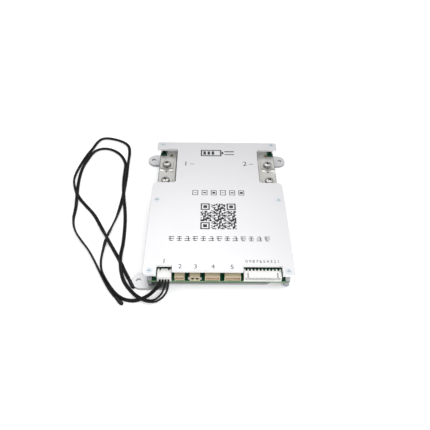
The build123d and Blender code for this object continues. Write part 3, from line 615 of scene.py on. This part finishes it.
# Antenna socket: two keyed mouths, opened to their full size, with a black keyed block set back in each
# as painted shade of the deep mouth
GPS_X = (low("gps_socket").x + high("gps_socket").x) / 2
GPS_FRONT = low("gps_socket").y
GPS_PITCH, GPS_DEPTH, GPS_SET_BACK, GPS_GAP = 3.3, 2.8, 0.8, 0.04
GPS_KEY_RISE = 0.9
GPS_BAR_W, GPS_BAR_H, GPS_KEY_W, GPS_KEY_H = 2.8, 1.5, 1.3, 1.2


def keyed_block(x, front, back, gap):
    """A T seen from the front: a wide bar with a narrow key below it, less a gap all round."""
    bar_w, bar_h, key_w = GPS_BAR_W - 2 * gap, GPS_BAR_H - 2 * gap, GPS_KEY_W - 2 * gap
    middle = board_top + GPS_KEY_RISE + GPS_KEY_H + GPS_BAR_H / 2
    piece = block((x, (front + back) / 2, middle), (bar_w, back - front, bar_h))
    bpy.ops.object.mode_set(mode="EDIT")
    for side in (-1, 1):
        bpy.ops.mesh.select_all(action="SELECT")
        bpy.ops.mesh.bisect(plane_co=((x + side * key_w / 2) * MM, 0, 0), plane_no=(1, 0, 0))
    select_faces(piece, lambda face: face.normal.z < -0.5 and abs(face.center.x / MM - x) < key_w / 2)
    extrude((0, 0, -GPS_KEY_H * MM))
    leave_edit_mode()
    return piece


# How far a cutter stands out of the face that it cuts
CUT_OUT = 1.0
# Black blocks set back in the mouths: painted shade, not the socket's contacts
gps_mouth_shades = []
for side in (-1, 1):
    gps_mouth_x = GPS_X + side * GPS_PITCH / 2
    cutter = keyed_block(gps_mouth_x, GPS_FRONT - CUT_OUT, GPS_FRONT + GPS_DEPTH, 0.0)
    cut(softened_pieces["gps_socket"], cutter)
    gps_mouth_shades.append(keyed_block(gps_mouth_x, GPS_FRONT + GPS_SET_BACK, GPS_FRONT + GPS_DEPTH, GPS_GAP))
settle(joined(gps_mouth_shades, "gps_painted_shade"), finishes["lead_black"])

# Contact springs of the three small sockets: a sheet on the floor and one on the back of each mouth
SOCKET_WALL, SOCKET_FLOOR, SOCKET_ROOF, SOCKET_MOUTH = 0.7, 1.0, 1.3, 3.8
SPRING_GAP, SPRING_T, SPRING_FRONT = 0.15, 0.12, 0.7
springs = []
for node in ("data_socket", "display_socket", "heater_socket"):
    socket_low, socket_high = low(node), high(node)
    x = (socket_low.x + socket_high.x) / 2
    width = socket_high.x - socket_low.x - 2 * (SOCKET_WALL + SPRING_GAP)
    floor_z = socket_low.z + SOCKET_FLOOR
    mouth_h = socket_high.z - SOCKET_ROOF - floor_z
    front, back = socket_low.y + SPRING_FRONT, socket_low.y + SOCKET_MOUTH - SPRING_GAP
    floor_place = (x, (front + back) / 2, floor_z + SPRING_T)
    back_place = (x, back - SPRING_T, floor_z + mouth_h / 2)
    springs.append(block(floor_place, (width, back - front, SPRING_T)))
    springs.append(block(back_place, (width, SPRING_T, mouth_h - 2 * SPRING_GAP)))
settle(joined(springs, "contact_springs"), finishes["contact_metal"])

# Terminal screws: domed heads with a cross recess, on round shanks
HEAD_D = 7.8
HEAD_BASE = high("terminal_washers").z
HEAD_TOP = high("terminal_screws").z
SHANK_D = 4.0
SHANK_END = low("terminal_screws").z
RECESS_L, RECESS_W, RECESS_DEPTH = 4.6, 1.3, 1.5
# The recess starts this far above the head, and its floor is this share of its mouth
RECESS_ABOVE, RECESS_TAPER = 0.2, 0.72
# (share of the head's radius, share of its height)
HEAD_PROFILE = (
    (0.95, 0.0),
    (1.0, 0.06),
    (1.0, 0.28),
    (0.96, 0.46),
    (0.86, 0.66),
    (0.7, 0.83),
    (0.48, 0.94),
    (0.24, 0.99),
)
HEAD_TIP_R = 0.05


def domed_screw(x, y, turn):
    """A terminal screw: rings raised one from another to a dome, a cross cut in it, and its shank."""
    select_only()
    bpy.ops.mesh.primitive_circle_add(
        vertices=40, radius=SHANK_D / 2 * MM, fill_type="NGON", location=(0, 0, SHANK_END * MM)
    )
    screw = bpy.context.object
    screw.name = "terminal_screw"
    bpy.ops.object.transform_apply(location=True, rotation=True, scale=True)
    bpy.ops.object.mode_set(mode="EDIT")
    bpy.ops.mesh.select_all(action="SELECT")
    radius, level = SHANK_D / 2, SHANK_END
    head_rings = [(HEAD_D / 2 * r, HEAD_BASE + (HEAD_TOP - HEAD_BASE) * z) for r, z in HEAD_PROFILE]
    for next_radius, next_level in [(SHANK_D / 2, HEAD_BASE), *head_rings, (HEAD_TIP_R, HEAD_TOP)]:
        extrude((0, 0, (next_level - level) * MM))
        grow = next_radius / radius
        bpy.ops.transform.resize(value=(grow, grow, 1), center_override=(0, 0, next_level * MM))
        radius, level = next_radius, next_level
    bpy.ops.mesh.select_all(action="SELECT")
    bpy.ops.mesh.remove_doubles(threshold=MERGE_MM * MM)
    bpy.ops.mesh.normals_make_consistent(inside=False)
    bpy.ops.object.mode_set(mode="OBJECT")
    for quarter in (0, 90):
        cutter = block((0, 0, HEAD_TOP + RECESS_ABOVE), (RECESS_L, RECESS_W, 2 * RECESS_DEPTH), quarter)
        select_faces(cutter, lambda face: face.normal.z < -0.5)
        taper = (RECESS_TAPER, RECESS_TAPER, 1)
        bpy.ops.transform.resize(value=taper, center_override=(0, 0, HEAD_TOP * MM))
        leave_edit_mode()
        cut(screw, cutter)
    bpy.ops.object.shade_smooth_by_angle(angle=math.radians(SHARP_ANGLE))
    screw.rotation_euler.z = math.radians(turn)
    screw.location = (x * MM, y * MM, 0)
    return screw


terminal_x = high("terminal_screws").x - HEAD_D / 2
terminal_ys = (low("terminal_screws").y + HEAD_D / 2, high("terminal_screws").y - HEAD_D / 2)
# Each screw stopped at its own turn, in degrees
SCREW_TURNS = (18.0, 64.0, 41.0, 5.0)
screw_places = [(side * terminal_x, y) for side in (-1, 1) for y in terminal_ys]
screws = [domed_screw(x, y, turn) for (x, y), turn in zip(screw_places, SCREW_TURNS)]
screw_piece = joined(screws, "terminal_screws_domed")
settle(screw_piece, finishes["terminal_steel"])
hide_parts("terminal_screws")

# Painted shade in each cross recess: two crossed black bars part way down it, one a little lower than
# the other, dark where the recess lies in shade
RECESS_SHADE_DOWN, RECESS_SHADE_T, RECESS_SHADE_STEP = 0.7, 0.1, 0.03
RECESS_SHADE_L, RECESS_SHADE_W = RECESS_L * 0.84, RECESS_W * 0.9
recess_painted_shade = []
for (x, y), turn in zip(screw_places, SCREW_TURNS):
    for quarter, lower in ((0, 0.0), (90, RECESS_SHADE_STEP)):
        place = (x, y, HEAD_TOP - RECESS_SHADE_DOWN - lower)
        size = (RECESS_SHADE_L, RECESS_SHADE_W, RECESS_SHADE_T)
        recess_painted_shade.append(block(place, size, turn + quarter))
# The crossed bars are black as painted shade of the recesses
settle(joined(recess_painted_shade, "recess_painted_shade"), finishes["moulded_black"])


# Solder at the feet of the four posts: a skirt that runs up each post
# (share of the skirt's spread, height above the bar)
SKIRT_STEPS = ((1.0, 0.0), (0.88, 0.12), (0.80, 0.32), (0.76, 0.62), (0.74, 0.9))
SKIRT_SMOOTH_ANGLE = 50.0
POST_W, POST_L, SKIRT_SPREAD = 3.9, 2.5, 1.42
post_pitch_half = (high("terminal_posts").x - POST_W / 2) - terminal_x
post_y = (low("terminal_posts").y + high("terminal_posts").y) / 2
bar_top = low("terminal_posts").z


def solder_skirt(x, y):
    """A ring of solder about the foot of a post, drawn up and in."""
    select_only()
    foot = Vector((x, y, bar_top)) * MM
    bpy.ops.mesh.primitive_circle_add(
        vertices=28, radius=SKIRT_SPREAD / 2 * MM, fill_type="NGON", location=foot
    )
    skirt = bpy.context.object
    bpy.ops.object.mode_set(mode="EDIT")
    bpy.ops.mesh.select_all(action="SELECT")
    bpy.ops.transform.resize(value=(POST_W, POST_L, 1), center_override=foot)
    width, level = SKIRT_STEPS[0]
    for next_width, next_level in SKIRT_STEPS[1:]:
        extrude((0, 0, (next_level - level) * MM))
        grow = next_width / width
        bpy.ops.transform.resize(value=(grow, grow, 1), center_override=foot)
        width, level = next_width, next_level
    bpy.ops.mesh.select_all(action="SELECT")
    bpy.ops.mesh.normals_make_consistent(inside=False)
    bpy.ops.object.mode_set(mode="OBJECT")
    bpy.ops.object.shade_smooth_by_angle(angle=math.radians(SKIRT_SMOOTH_ANGLE))
    return skirt


skirts = [
    solder_skirt(side * terminal_x + half * post_pitch_half, post_y)
    for side in (-1, 1)
    for half in (-1, 1)
]
settle(joined(skirts, "post_solder"), finishes["solder"])


# Print on the cover: plain numbers and plain shapes, in place of all words and signs
def ink_bar(x, y, width, length):
    """A plain rectangle of ink."""
    bpy.ops.mesh.primitive_plane_add(size=1.0, location=(x * MM, y * MM, 0))
    bar = bpy.context.object
    bar.scale = (width * MM, length * MM, 1)
    select_only(bar)
    bpy.ops.object.transform_apply(location=False, rotation=False, scale=True)
    return bar


def ink_frame(x, y, width, length, line):
    """A rectangle outline of ink, its corners cut: a plane inset by the width of its line."""
    frame_piece = ink_bar(x, y, width, length)
    bpy.ops.object.mode_set(mode="EDIT")
    bpy.ops.mesh.select_all(action="SELECT")
    bpy.ops.mesh.inset(thickness=line * MM)
    bpy.ops.mesh.delete(type="FACE")
    bpy.ops.object.mode_set(mode="OBJECT")
    return frame_piece


def ink_text(text, x, y, height):
    """Plain figures of ink, centred on a point."""
    bpy.ops.object.text_add(location=(x * MM, y * MM, 0))
    words = bpy.context.object
    words.data.body = text
    words.data.size = height / FIGURE_SHARE
    words.data.align_x = "CENTER"
    words.data.align_y = "CENTER"
    words.data.resolution_u = 4
    words.scale = (MM, MM, MM)
    select_only(words)
    bpy.ops.object.convert(target="MESH")
    bpy.ops.object.transform_apply(location=False, rotation=False, scale=True)
    return bpy.context.object


marks = []

# Battery sign at the rear: a case with three bars in it and a tip, and two strokes to its right
SIGN_X, SIGN_Y, SIGN_W, SIGN_L, SIGN_LINE = -5.4, 59.2, 18.0, 8.6, 1.1
SIGN_BARS, SIGN_BAR_X, SIGN_BAR_STEP, SIGN_BAR_W, SIGN_BAR_L = 3, -11.0, 3.6, 2.2, 4.6
SIGN_TIP_X, SIGN_TIP_W, SIGN_TIP_L = 4.6, 1.4, 3.6
STROKE_X, STROKE_W = 10.4, 8.4
# (place in Y, thickness)
STROKES = ((61.2, 1.3), (57.2, 0.9))
marks.append(ink_frame(SIGN_X, SIGN_Y, SIGN_W, SIGN_L, SIGN_LINE))
marks.append(ink_bar(SIGN_TIP_X, SIGN_Y, SIGN_TIP_W, SIGN_TIP_L))
for step in range(SIGN_BARS):
    marks.append(ink_bar(SIGN_BAR_X + step * SIGN_BAR_STEP, SIGN_Y, SIGN_BAR_W, SIGN_BAR_L))
for y, thickness in STROKES:
    marks.append(ink_bar(STROKE_X, y, STROKE_W, thickness))

# Terminal numbers, each with a dash: (number, its place, place of its dash)
TERMINAL_NUMBERS = (
    ("1", (-27.0, 44.3), (-21.6, 44.2)),
    ("2", (23.4, 44.6), (28.8, 44.4)),
)
TERMINAL_NUMBER_H, DASH_W, DASH_L = 5.4, 4.0, 0.5
for text, number_place, dash_place in TERMINAL_NUMBERS:
    marks.append(ink_text(text, *number_place, TERMINAL_NUMBER_H))
    marks.append(ink_bar(*dash_place, DASH_W, DASH_L))

# Title row: plain framed shapes, with bars of three thicknesses in turn
TITLE_COUNT, TITLE_X, TITLE_Y, TITLE_PITCH = 6, 0.4, 8.6, 7.4
TITLE_W, TITLE_L, TITLE_LINE, TITLE_BAR_W = 4.6, 5.8, 0.55, 2.3
TITLE_BAR_L, TITLE_BAR_STEP = 0.5, 0.9
for place in range(TITLE_COUNT):
    x = (place - (TITLE_COUNT - 1) / 2) * TITLE_PITCH + TITLE_X
    marks.append(ink_frame(x, TITLE_Y, TITLE_W, TITLE_L, TITLE_LINE))
    marks.append(ink_bar(x, TITLE_Y, TITLE_BAR_W, TITLE_BAR_L + TITLE_BAR_STEP * (place % 3)))

# Code square: three nested corner squares and a plain pattern of cells that says nothing
CODE_X, CODE_Y, CODE_W, CODE_CELLS, CORNER_CELLS = 0.1, -17.4, 27.3, 27, 7


def code_cell_is_inked(column, row):
    """Whether a cell is inked: nested squares in three corners, a plain rule elsewhere."""
    last = CODE_CELLS - 1
    for corner_column, corner_row in ((0, last), (last, last), (0, 0)):
        across, up = abs(column - corner_column), abs(row - corner_row)
        if across <= CORNER_CELLS and up <= CORNER_CELLS:
            ring = max(abs(across - CORNER_CELLS // 2), abs(up - CORNER_CELLS // 2))
            return ring in (0, 1, 3)
    return (7 * row * row + 5 * column * column + 3 * row * column + row + 2 * column) % 11 < 6


select_only()
bpy.ops.mesh.primitive_grid_add(
    x_subdivisions=CODE_CELLS,
    y_subdivisions=CODE_CELLS,
    size=CODE_W * MM,
    location=(CODE_X * MM, CODE_Y * MM, 0),
)
code_square = bpy.context.object


def cell_is_bare(face):
    """Whether a face of the code square is a cell without ink."""
    column = int((face.center.x / MM / CODE_W + 0.5) * CODE_CELLS)
    row = int((face.center.y / MM / CODE_W + 0.5) * CODE_CELLS)
    return not code_cell_is_inked(column, row)


select_faces(code_square, cell_is_bare)
bpy.ops.mesh.delete(type="FACE")
leave_edit_mode()
marks.append(code_square)

# Row under the square: marks of three level strokes and an upright, whose sizes come round in threes
LINE_COUNT, LINE_X, LINE_Y, LINE_PITCH = 13, 0.6, -40.4, 5.86
LINE_STROKE, LINE_RISE = 0.6, 1.9
LINE_TOP_W, LINE_TOP_STEP = 4.0, -0.9
LINE_MIDDLE_W = 4.2
LINE_LOW_W, LINE_LOW_STEP = 2.6, 0.7
LINE_UPRIGHT_X, LINE_UPRIGHT_STEP, LINE_UPRIGHT_L = -0.9, 0.9, 3.6
for place in range(LINE_COUNT):
    x = LINE_X + (place - (LINE_COUNT - 1) / 2) * LINE_PITCH
    kind = place % 3
    upright_x = x + LINE_UPRIGHT_X + LINE_UPRIGHT_STEP * kind
    marks.append(ink_bar(x, LINE_Y + LINE_RISE, LINE_TOP_W + LINE_TOP_STEP * kind, LINE_STROKE))
    marks.append(ink_bar(x, LINE_Y, LINE_MIDDLE_W, LINE_STROKE))
    marks.append(ink_bar(x, LINE_Y - LINE_RISE, LINE_LOW_W + LINE_LOW_STEP * kind, LINE_STROKE))
    marks.append(ink_bar(upright_x, LINE_Y, LINE_STROKE, LINE_UPRIGHT_L))

# Numbers of the connectors: (number, its place, its height)
CONNECTOR_NUMBERS = (
    ("1", (-38.5, -61.7), 4.0),
    ("2", (-27.1, -66.2), 3.7),
    ("3", (-16.3, -66.3), 3.7),
    ("4", (-4.1, -66.3), 3.7),
    ("5", (9.2, -66.5), 3.7),
)
for text, number_place, height in CONNECTOR_NUMBERS:
    marks.append(ink_text(text, *number_place, height))

# Numbers of the ten pins, from the right
PIN_COUNT, PIN_PITCH, PIN_NUMBER_Y, PIN_NUMBER_H = 10, 2.5, -61.5, 2.5
header_x = (header_left + header_right) / 2
for pin in range(PIN_COUNT):
    x = header_x + ((PIN_COUNT - 1) / 2 - pin) * PIN_PITCH
    marks.append(ink_text(str((pin + 1) % PIN_COUNT), x, PIN_NUMBER_Y, PIN_NUMBER_H))

cover_print = joined(marks, "cover_print")
bpy.ops.object.transform_apply(location=True, rotation=True, scale=True)
cover_print.location.z = (cover_top + INK_GAP) * MM
plate = cover_print.modifiers.new("ink_depth", "SOLIDIFY")
plate.thickness = INK_DEPTH * MM
plate.offset = 1.0
bpy.ops.object.modifier_apply(modifier=plate.name)
settle(cover_print, ink)

# Where each lead leaves the plug, and how high
LEAD_A_X, LEAD_B_X = -36.1, -40.1
lead_exit_y = low("temperature_plug").y
lead_exit_z = high("thermistor_lead_a").z - STRAND_D

# Routes of the two leads after the plug, on the bench, in millimetres. The last word is the level:
# "exit" level with the plug, "floor" on the bench, "over" across the other lead, "end" at the bead.
route_a = [
    (LEAD_A_X, -74.6, "exit"),
    (-36.4, -77.4, 8.0),
    (-37.9, -79.8, 4.8),
    (-40.6, -82.0, 2.2),
    (-44.6, -84.2, "floor"),
    (-50.2, -84.9, "over"),
    (-56.0, -82.0, "over"),
    (-61.0, -76.7, "floor"),
    (-67.2, -68.8, "floor"),
    (-70.5, -60.8, "floor"),
    (-72.0, -53.4, "over"),
    (-73.0, -43.6, "over"),
    (-72.7, -34.4, "floor"),
    (-73.1, -21.6, "floor"),
    (-74.1, -8.0, "floor"),
    (-75.7, 3.9, "floor"),
    (-77.9, 15.1, "over"),
    (-79.8, 27.3, "over"),
    (-81.2, 39.9, "over"),
    (-81.5, 50.2, "over"),
    (-81.6, 59.2, "over"),
    (-83.9, 67.1, "floor"),
    (-88.3, 75.4, "floor"),
    (-95.6, 82.2, "floor"),
    (-104.0, 85.0, "floor"),
    (-111.0, 82.8, "floor"),
    (-114.8, 77.6, "floor"),
    (-117.3, 69.1, "floor"),
    (-120.0, 58.6, "floor"),
    (-120.6, 46.0, "floor"),
    (-119.8, 34.0, "floor"),
    (-118.4, 25.0, "over"),
    (-117.0, 14.6, "over"),
    (-116.0, 4.7, "floor"),
    (-115.9, -7.2, "floor"),
    (-112.6, -18.6, "floor"),
    (-105.8, -28.8, "floor"),
    (-98.0, -38.5, "floor"),
    (-91.5, -49.6, "floor"),
    (-85.9, -60.1, "floor"),
    (-80.8, -69.0, "floor"),
    (-76.5, -75.3, "end"),
    (-72.45, -79.95, "end"),
]
route_b = [
    (LEAD_B_X, -74.5, "exit"),
    (-41.7, -76.8, 8.4),
    (-44.8, -78.4, 5.6),
    (-48.4, -80.2, 2.6),
    (-53.4, -82.1, "floor"),
    (-59.2, -84.5, "floor"),
    (-66.8, -83.0, "floor"),
    (-73.6, -77.0, "floor"),
    (-80.0, -67.6, "floor"),
    (-85.1, -58.8, "floor"),
    (-87.2, -49.2, "floor"),
    (-87.0, -37.9, "floor"),
    (-86.4, -26.6, "floor"),
    (-83.8, -14.9, "floor"),
    (-81.2, -3.4, "floor"),
    (-80.1, 8.7, "floor"),
    (-79.5, 21.1, "floor"),
    (-79.4, 34.0, "floor"),
    (-79.6, 46.8, "floor"),
    (-80.0, 57.9, "floor"),
    (-80.3, 68.6, "floor"),
    (-80.6, 79.2, "floor"),
    (-82.4, 88.6, "floor"),
    (-88.4, 95.0, "floor"),
    (-97.8, 99.2, "floor"),
    (-107.4, 100.9, "floor"),
    (-112.6, 95.8, "floor"),
    (-115.7, 84.0, "floor"),
    (-118.8, 73.8, "floor"),
    (-121.9, 61.8, "floor"),
    (-124.1, 50.4, "floor"),
    (-124.6, 39.7, "floor"),
    (-121.6, 29.3, "floor"),
    (-116.5, 18.8, "floor"),
    (-108.9, 9.2, "floor"),
    (-100.2, -0.8, "floor"),
    (-94.7, -10.6, "floor"),
    (-90.5, -18.7, "over"),
    (-84.4, -29.6, "over"),
    (-79.0, -38.4, "floor"),
    (-72.1, -50.4, "floor"),
    (-68.1, -59.1, "end"),
    (-64.6, -65.2, "end"),
]


def lead_points(route, exit_point, edges):
    """Route points in millimetres with a turn for each: 0 lies flat and 1 stands on edge."""
    radius = STRAND_D / 2
    points = [(*exit_point, 0.0)]
    for index, (x, y, level) in enumerate(route):
        turn = edges.get(index, 0.0)
        half = radius + STRAND_APART / 2 * math.sin(turn * math.pi / 2) + BENCH_GAP
        heights = {
            "exit": exit_point[2],
            "floor": half,
            "over": STRAND_D + LEAD_GAP + half,
            "end": BEAD_H / 2,
        }
        points.append((x, y, heights.get(level, level), turn))
    return points


def smooth_line(points):
    """The points of a smooth curve that follows a route, read from its spline."""
    curve = bpy.data.curves.new("route", "CURVE")
    curve.dimensions = "3D"
    curve.resolution_u = 8
    spline = curve.splines.new("NURBS")
    spline.points.add(len(points) - 1)
    for target, (x, y, z, turn) in zip(spline.points, points):
        target.co = (x * MM, y * MM, z * MM, 1.0)
    spline.order_u = 3
    spline.use_endpoint_u = True
    bare = bpy.data.objects.new("route", curve)
    line_mesh = bpy.data.meshes.new_from_object(bare)
    line = [vertex.co.copy() for vertex in line_mesh.vertices]
    bpy.data.objects.remove(bare)
    bpy.data.meshes.remove(line_mesh)
    return line


def turn_at(place, points):
    """The turn of the lead at a place: that of the route's points on either side, by distance."""
    near = sorted(points, key=lambda p: (Vector(p[:3]) * MM - place).length)[:2]
    gaps = [(Vector(p[:3]) * MM - place).length + 1e-6 for p in near]
    return (near[0][3] * gaps[1] + near[1][3] * gaps[0]) / (gaps[0] + gaps[1])


def strand(line, offsets, name):
    """One round strand along a line of points moved sideways by an offset each."""
    curve = bpy.data.curves.new(name, "CURVE")
    curve.dimensions = "3D"
    curve.bevel_depth = STRAND_D / 2 * MM
    curve.bevel_resolution = 3
    curve.use_fill_caps = True
    spline = curve.splines.new("POLY")
    spline.points.add(len(line) - 1)
    for target, place, offset in zip(spline.points, line, offsets):
        target.co = (*(place + offset), 1.0)
    piece = bpy.data.objects.new(name, curve)
    bpy.context.scene.collection.objects.link(piece)
    select_only(piece)
    bpy.ops.object.convert(target="MESH")
    return bpy.context.object


def twin_lead(name, route, exit_point, edges, spreads, node, bead_node):
    """A lead of two strands: apart at the plug, then side by side, turning where the route says."""
    points = lead_points(route, exit_point, edges)
    line = smooth_line(points)
    run = 0.0
    offsets = []
    for index, place in enumerate(line):
        before, after = line[max(index - 1, 0)], line[min(index + 1, len(line) - 1)]
        if index > 0:
            run += (place - line[index - 1]).length / MM
        along = (after - before).normalized()
        side = along.cross(Vector((0, 0, 1))).normalized()
        up = side.cross(along).normalized()
        turn = turn_at(place, points) * math.pi / 2
        apart = spread_at(run, spreads)
        offsets.append((side * math.cos(turn) + up * math.sin(turn)) * apart / 2 * MM)
    strands = [
        strand(line, offsets, name + "_left"),
        strand(line, [-offset for offset in offsets], name + "_right"),
    ]
    piece = joined(strands, name)
    bpy.ops.object.shade_smooth()
    settle(piece, finishes["lead_black"])
    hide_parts(node)
    bead = epoxy_bead(name + "_bead", line, bead_node)


def spread_at(run, spreads):
    """Distance between the strands' middles at a length along the lead."""
    for (start, wide), (end, narrow) in zip(spreads, spreads[1:]):
        if run <= end:
            share = (run - start) / (end - start)
            return wide + (narrow - wide) * share * share * (3 - 2 * share)
    return spreads[-1][1]


# Half widths of the bead along its length: (share of the length, share of the half width)
BEAD_START_W = 0.6
BEAD_PROFILE = (
    (0.05, 0.72),
    (0.14, 0.78),
    (0.30, 0.86),
    (0.46, 0.95),
    (0.62, 1.0),
    (0.76, 0.99),
    (0.87, 0.88),
    (0.94, 0.68),
    (0.985, 0.36),
    (1.0, 0.12),
)


def epoxy_bead(name, line, node):
    """A glossy epoxy drop over the sensor: a ring drawn out towards its blunt tip."""
    start, along = line[-1], (line[-1] - line[-2])
    along.z = 0
    along.normalize()
    turn = along.to_track_quat("Z", "Y").to_euler()
    place = start.copy()
    place.z = BEAD_H / 2 * MM
    share, width = 0.0, BEAD_START_W
    select_only()
    bpy.ops.mesh.primitive_circle_add(
        vertices=24, radius=BEAD_W / 2 * width * MM, fill_type="NGON", location=place, rotation=turn
    )
    bead = bpy.context.object
    bead.name = name
    bpy.ops.object.transform_apply(location=True, rotation=True, scale=True)
    bpy.ops.object.mode_set(mode="EDIT")
    bpy.ops.mesh.select_all(action="SELECT")
    for next_share, next_width in BEAD_PROFILE:
        step = along * (next_share - share) * BEAD_L * MM
        place = place + step
        extrude(step)
        grow = next_width / width
        bpy.ops.transform.resize(value=(grow, grow, grow), center_override=place)
        share, width = next_share, next_width
    bpy.ops.mesh.select_all(action="SELECT")
    bpy.ops.transform.resize(value=(1, 1, BEAD_H / BEAD_W), center_override=place)
    bpy.ops.mesh.normals_make_consistent(inside=False)
    bpy.ops.object.mode_set(mode="OBJECT")
    smooth = bead.modifiers.new("smooth_drop", "SUBSURF")
    smooth.levels = 1
    smooth.render_levels = 1
    select_only(bead)
    bpy.ops.object.modifier_apply(modifier=smooth.name)
    bpy.ops.object.shade_smooth()
    settle(bead, finishes["bead_black"])
    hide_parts(node)
    return bead


# Share of a quarter turn by which a lead stands on edge at a point of its route
EDGES_A = {
    **{9: 0.4, 10: 0.4, 33: 0.4, 34: 0.8, 35: 0.9, 36: 0.7},
    **{37: 0.8, 38: 0.8, 39: 0.8, 40: 0.7, 41: 0.4},
}
EDGES_B = {
    **{5: 0.6, 6: 0.7, 7: 0.8, 8: 0.9, 9: 0.9, 10: 0.7, 11: 0.6, 12: 0.7, 13: 0.7, 14: 0.5},
    **{19: 0.3, 20: 0.3, 28: 0.6, 29: 0.9, 30: 0.95, 31: 0.95, 32: 0.6},
}
# (length along the lead, distance between the middles of its strands there)
SPREADS_A = ((0, 2.0), (9, 2.7), (24, STRAND_APART))
SPREADS_B = ((0, 2.0), (8, 1.5), (16, STRAND_APART))
twin_lead(
    "twin_lead_a",
    route_a,
    (LEAD_A_X, lead_exit_y, lead_exit_z),
    EDGES_A,
    SPREADS_A,
    "thermistor_lead_a",
    "thermistor_bead_a",
)
twin_lead(
    "twin_lead_b",
    route_b,
    (LEAD_B_X, lead_exit_y, lead_exit_z),
    EDGES_B,
    SPREADS_B,
    "thermistor_lead_b",
    "thermistor_bead_b",
)


# Floor, light and camera
def floor_finish():
    """Plain pale floor: diffuse, with a little light of its own for the camera and in reflections."""
    material = bpy.data.materials.new("floor_white")
    material.use_nodes = True
    tree = material.node_tree
    shader = tree.nodes["Principled BSDF"]
    shader.inputs["Base Color"].default_value = (*FLOOR_COLOUR, 1)
    shader.inputs["Roughness"].default_value = 0.9
    shader.inputs["Specular IOR Level"].default_value = 0.1
    shader.inputs["Emission Color"].default_value = (1, 1, 1, 1)
    place = tree.nodes.new("ShaderNodeSeparateXYZ")
    tree.links.new(tree.nodes.new("ShaderNodeTexCoord").outputs["Object"], place.inputs[0])
    sides = []
    for axis, corner in (("X", board_corner.x), ("Y", board_corner.y)):
        outward = math_node(tree, "ABSOLUTE", place.outputs[axis])
        sides.append(math_node(tree, "SUBTRACT", outward, corner * MM))
    away = math_node(tree, "MAXIMUM", sides[0], sides[1])
    near_glow = ramp(tree, away, GLOW_START * MM, GLOW_FULL * MM, 0.0, GLOW_NEAR)
    far_glow = ramp(tree, away, FAR_START * MM, FAR_FULL * MM, 0.0, GLOW_FAR)
    glow = math_node(tree, "ADD", near_glow, far_glow)
    rays = tree.nodes.new("ShaderNodeLightPath")
    seen = math_node(tree, "MAXIMUM", rays.outputs["Is Camera Ray"], rays.outputs["Is Glossy Ray"])
    tree.links.new(math_node(tree, "MULTIPLY", seen, glow), shader.inputs["Emission Strength"])
    return material


bpy.ops.mesh.primitive_plane_add(size=FLOOR_SIZE * MM, location=(0, 0, -FLOOR_DOWN * MM))
floor = bpy.context.object
floor.name = "floor"
floor.data.materials.append(floor_finish())

world = bpy.data.worlds.new("soft_sky")
bpy.context.scene.world = world
world.use_nodes = True
sky_tree = world.node_tree
sky = sky_tree.nodes["Background"]
sky.inputs["Color"].default_value = (1, 1, 1, 1)
aim_split = sky_tree.nodes.new("ShaderNodeSeparateXYZ")
sky_tree.links.new(sky_tree.nodes.new("ShaderNodeTexCoord").outputs["Generated"], aim_split.inputs[0])
upward, rearward = aim_split.outputs["Z"], aim_split.outputs["Y"]
overhead = ramp(sky_tree, upward, SKY_RISE_START, SKY_RISE_END, SKY_LOW, SKY_HIGH)
behind_camera = ramp(sky_tree, rearward, SKY_SHADE_START, SKY_SHADE_END, 1 - SKY_FRONT_SHADE, 1.0)
sky_light = math_node(sky_tree, "MULTIPLY", overhead, behind_camera)
sky_rays = sky_tree.nodes.new("ShaderNodeLightPath")
sky_strength = sky_tree.nodes.new("ShaderNodeMix")
sky_tree.links.new(sky_rays.outputs["Is Camera Ray"], sky_strength.inputs[0])
sky_tree.links.new(sky_light, sky_strength.inputs[2])
sky_strength.inputs[3].default_value = 1.0
sky_tree.links.new(sky_strength.outputs[0], sky.inputs["Strength"])


def soft_lamp(name, place, size, power, mirrored):
    """A square area lamp that points at the middle of the board; metal may mirror it or not."""
    bpy.ops.object.light_add(type="AREA", location=Vector(place) * MM)
    lamp = bpy.context.object
    lamp.name = name
    lamp.data.size = size * MM
    lamp.data.energy = power
    lamp.visible_glossy = mirrored
    lamp.rotation_euler = (-Vector(place)).to_track_quat("-Z", "Y").to_euler()


soft_lamp("key_light", KEY_PLACE, KEY_SIZE, KEY_POWER, mirrored=True)
soft_lamp("fill_light", FILL_PLACE, FILL_SIZE, FILL_POWER, mirrored=False)

bpy.ops.object.camera_add(location=Vector(CAMERA_PLACE) * MM)
camera = bpy.context.object
camera.name = "camera"
camera.data.sensor_width = SENSOR
camera.data.lens = SENSOR * FOCAL_PIXELS / PHOTO_WIDTH
camera.data.clip_start = 0.01
aim = (
    Matrix.Rotation(math.radians(-CAMERA_YAW), 3, "Z")
    @ Matrix.Rotation(math.radians(90 - CAMERA_PITCH), 3, "X")
    @ Matrix.Rotation(math.radians(CAMERA_ROLL), 3, "Z")
)
camera.rotation_euler = aim.to_euler()
bpy.context.scene.camera = camera
bpy.context.scene.view_settings.view_transform = "Standard"
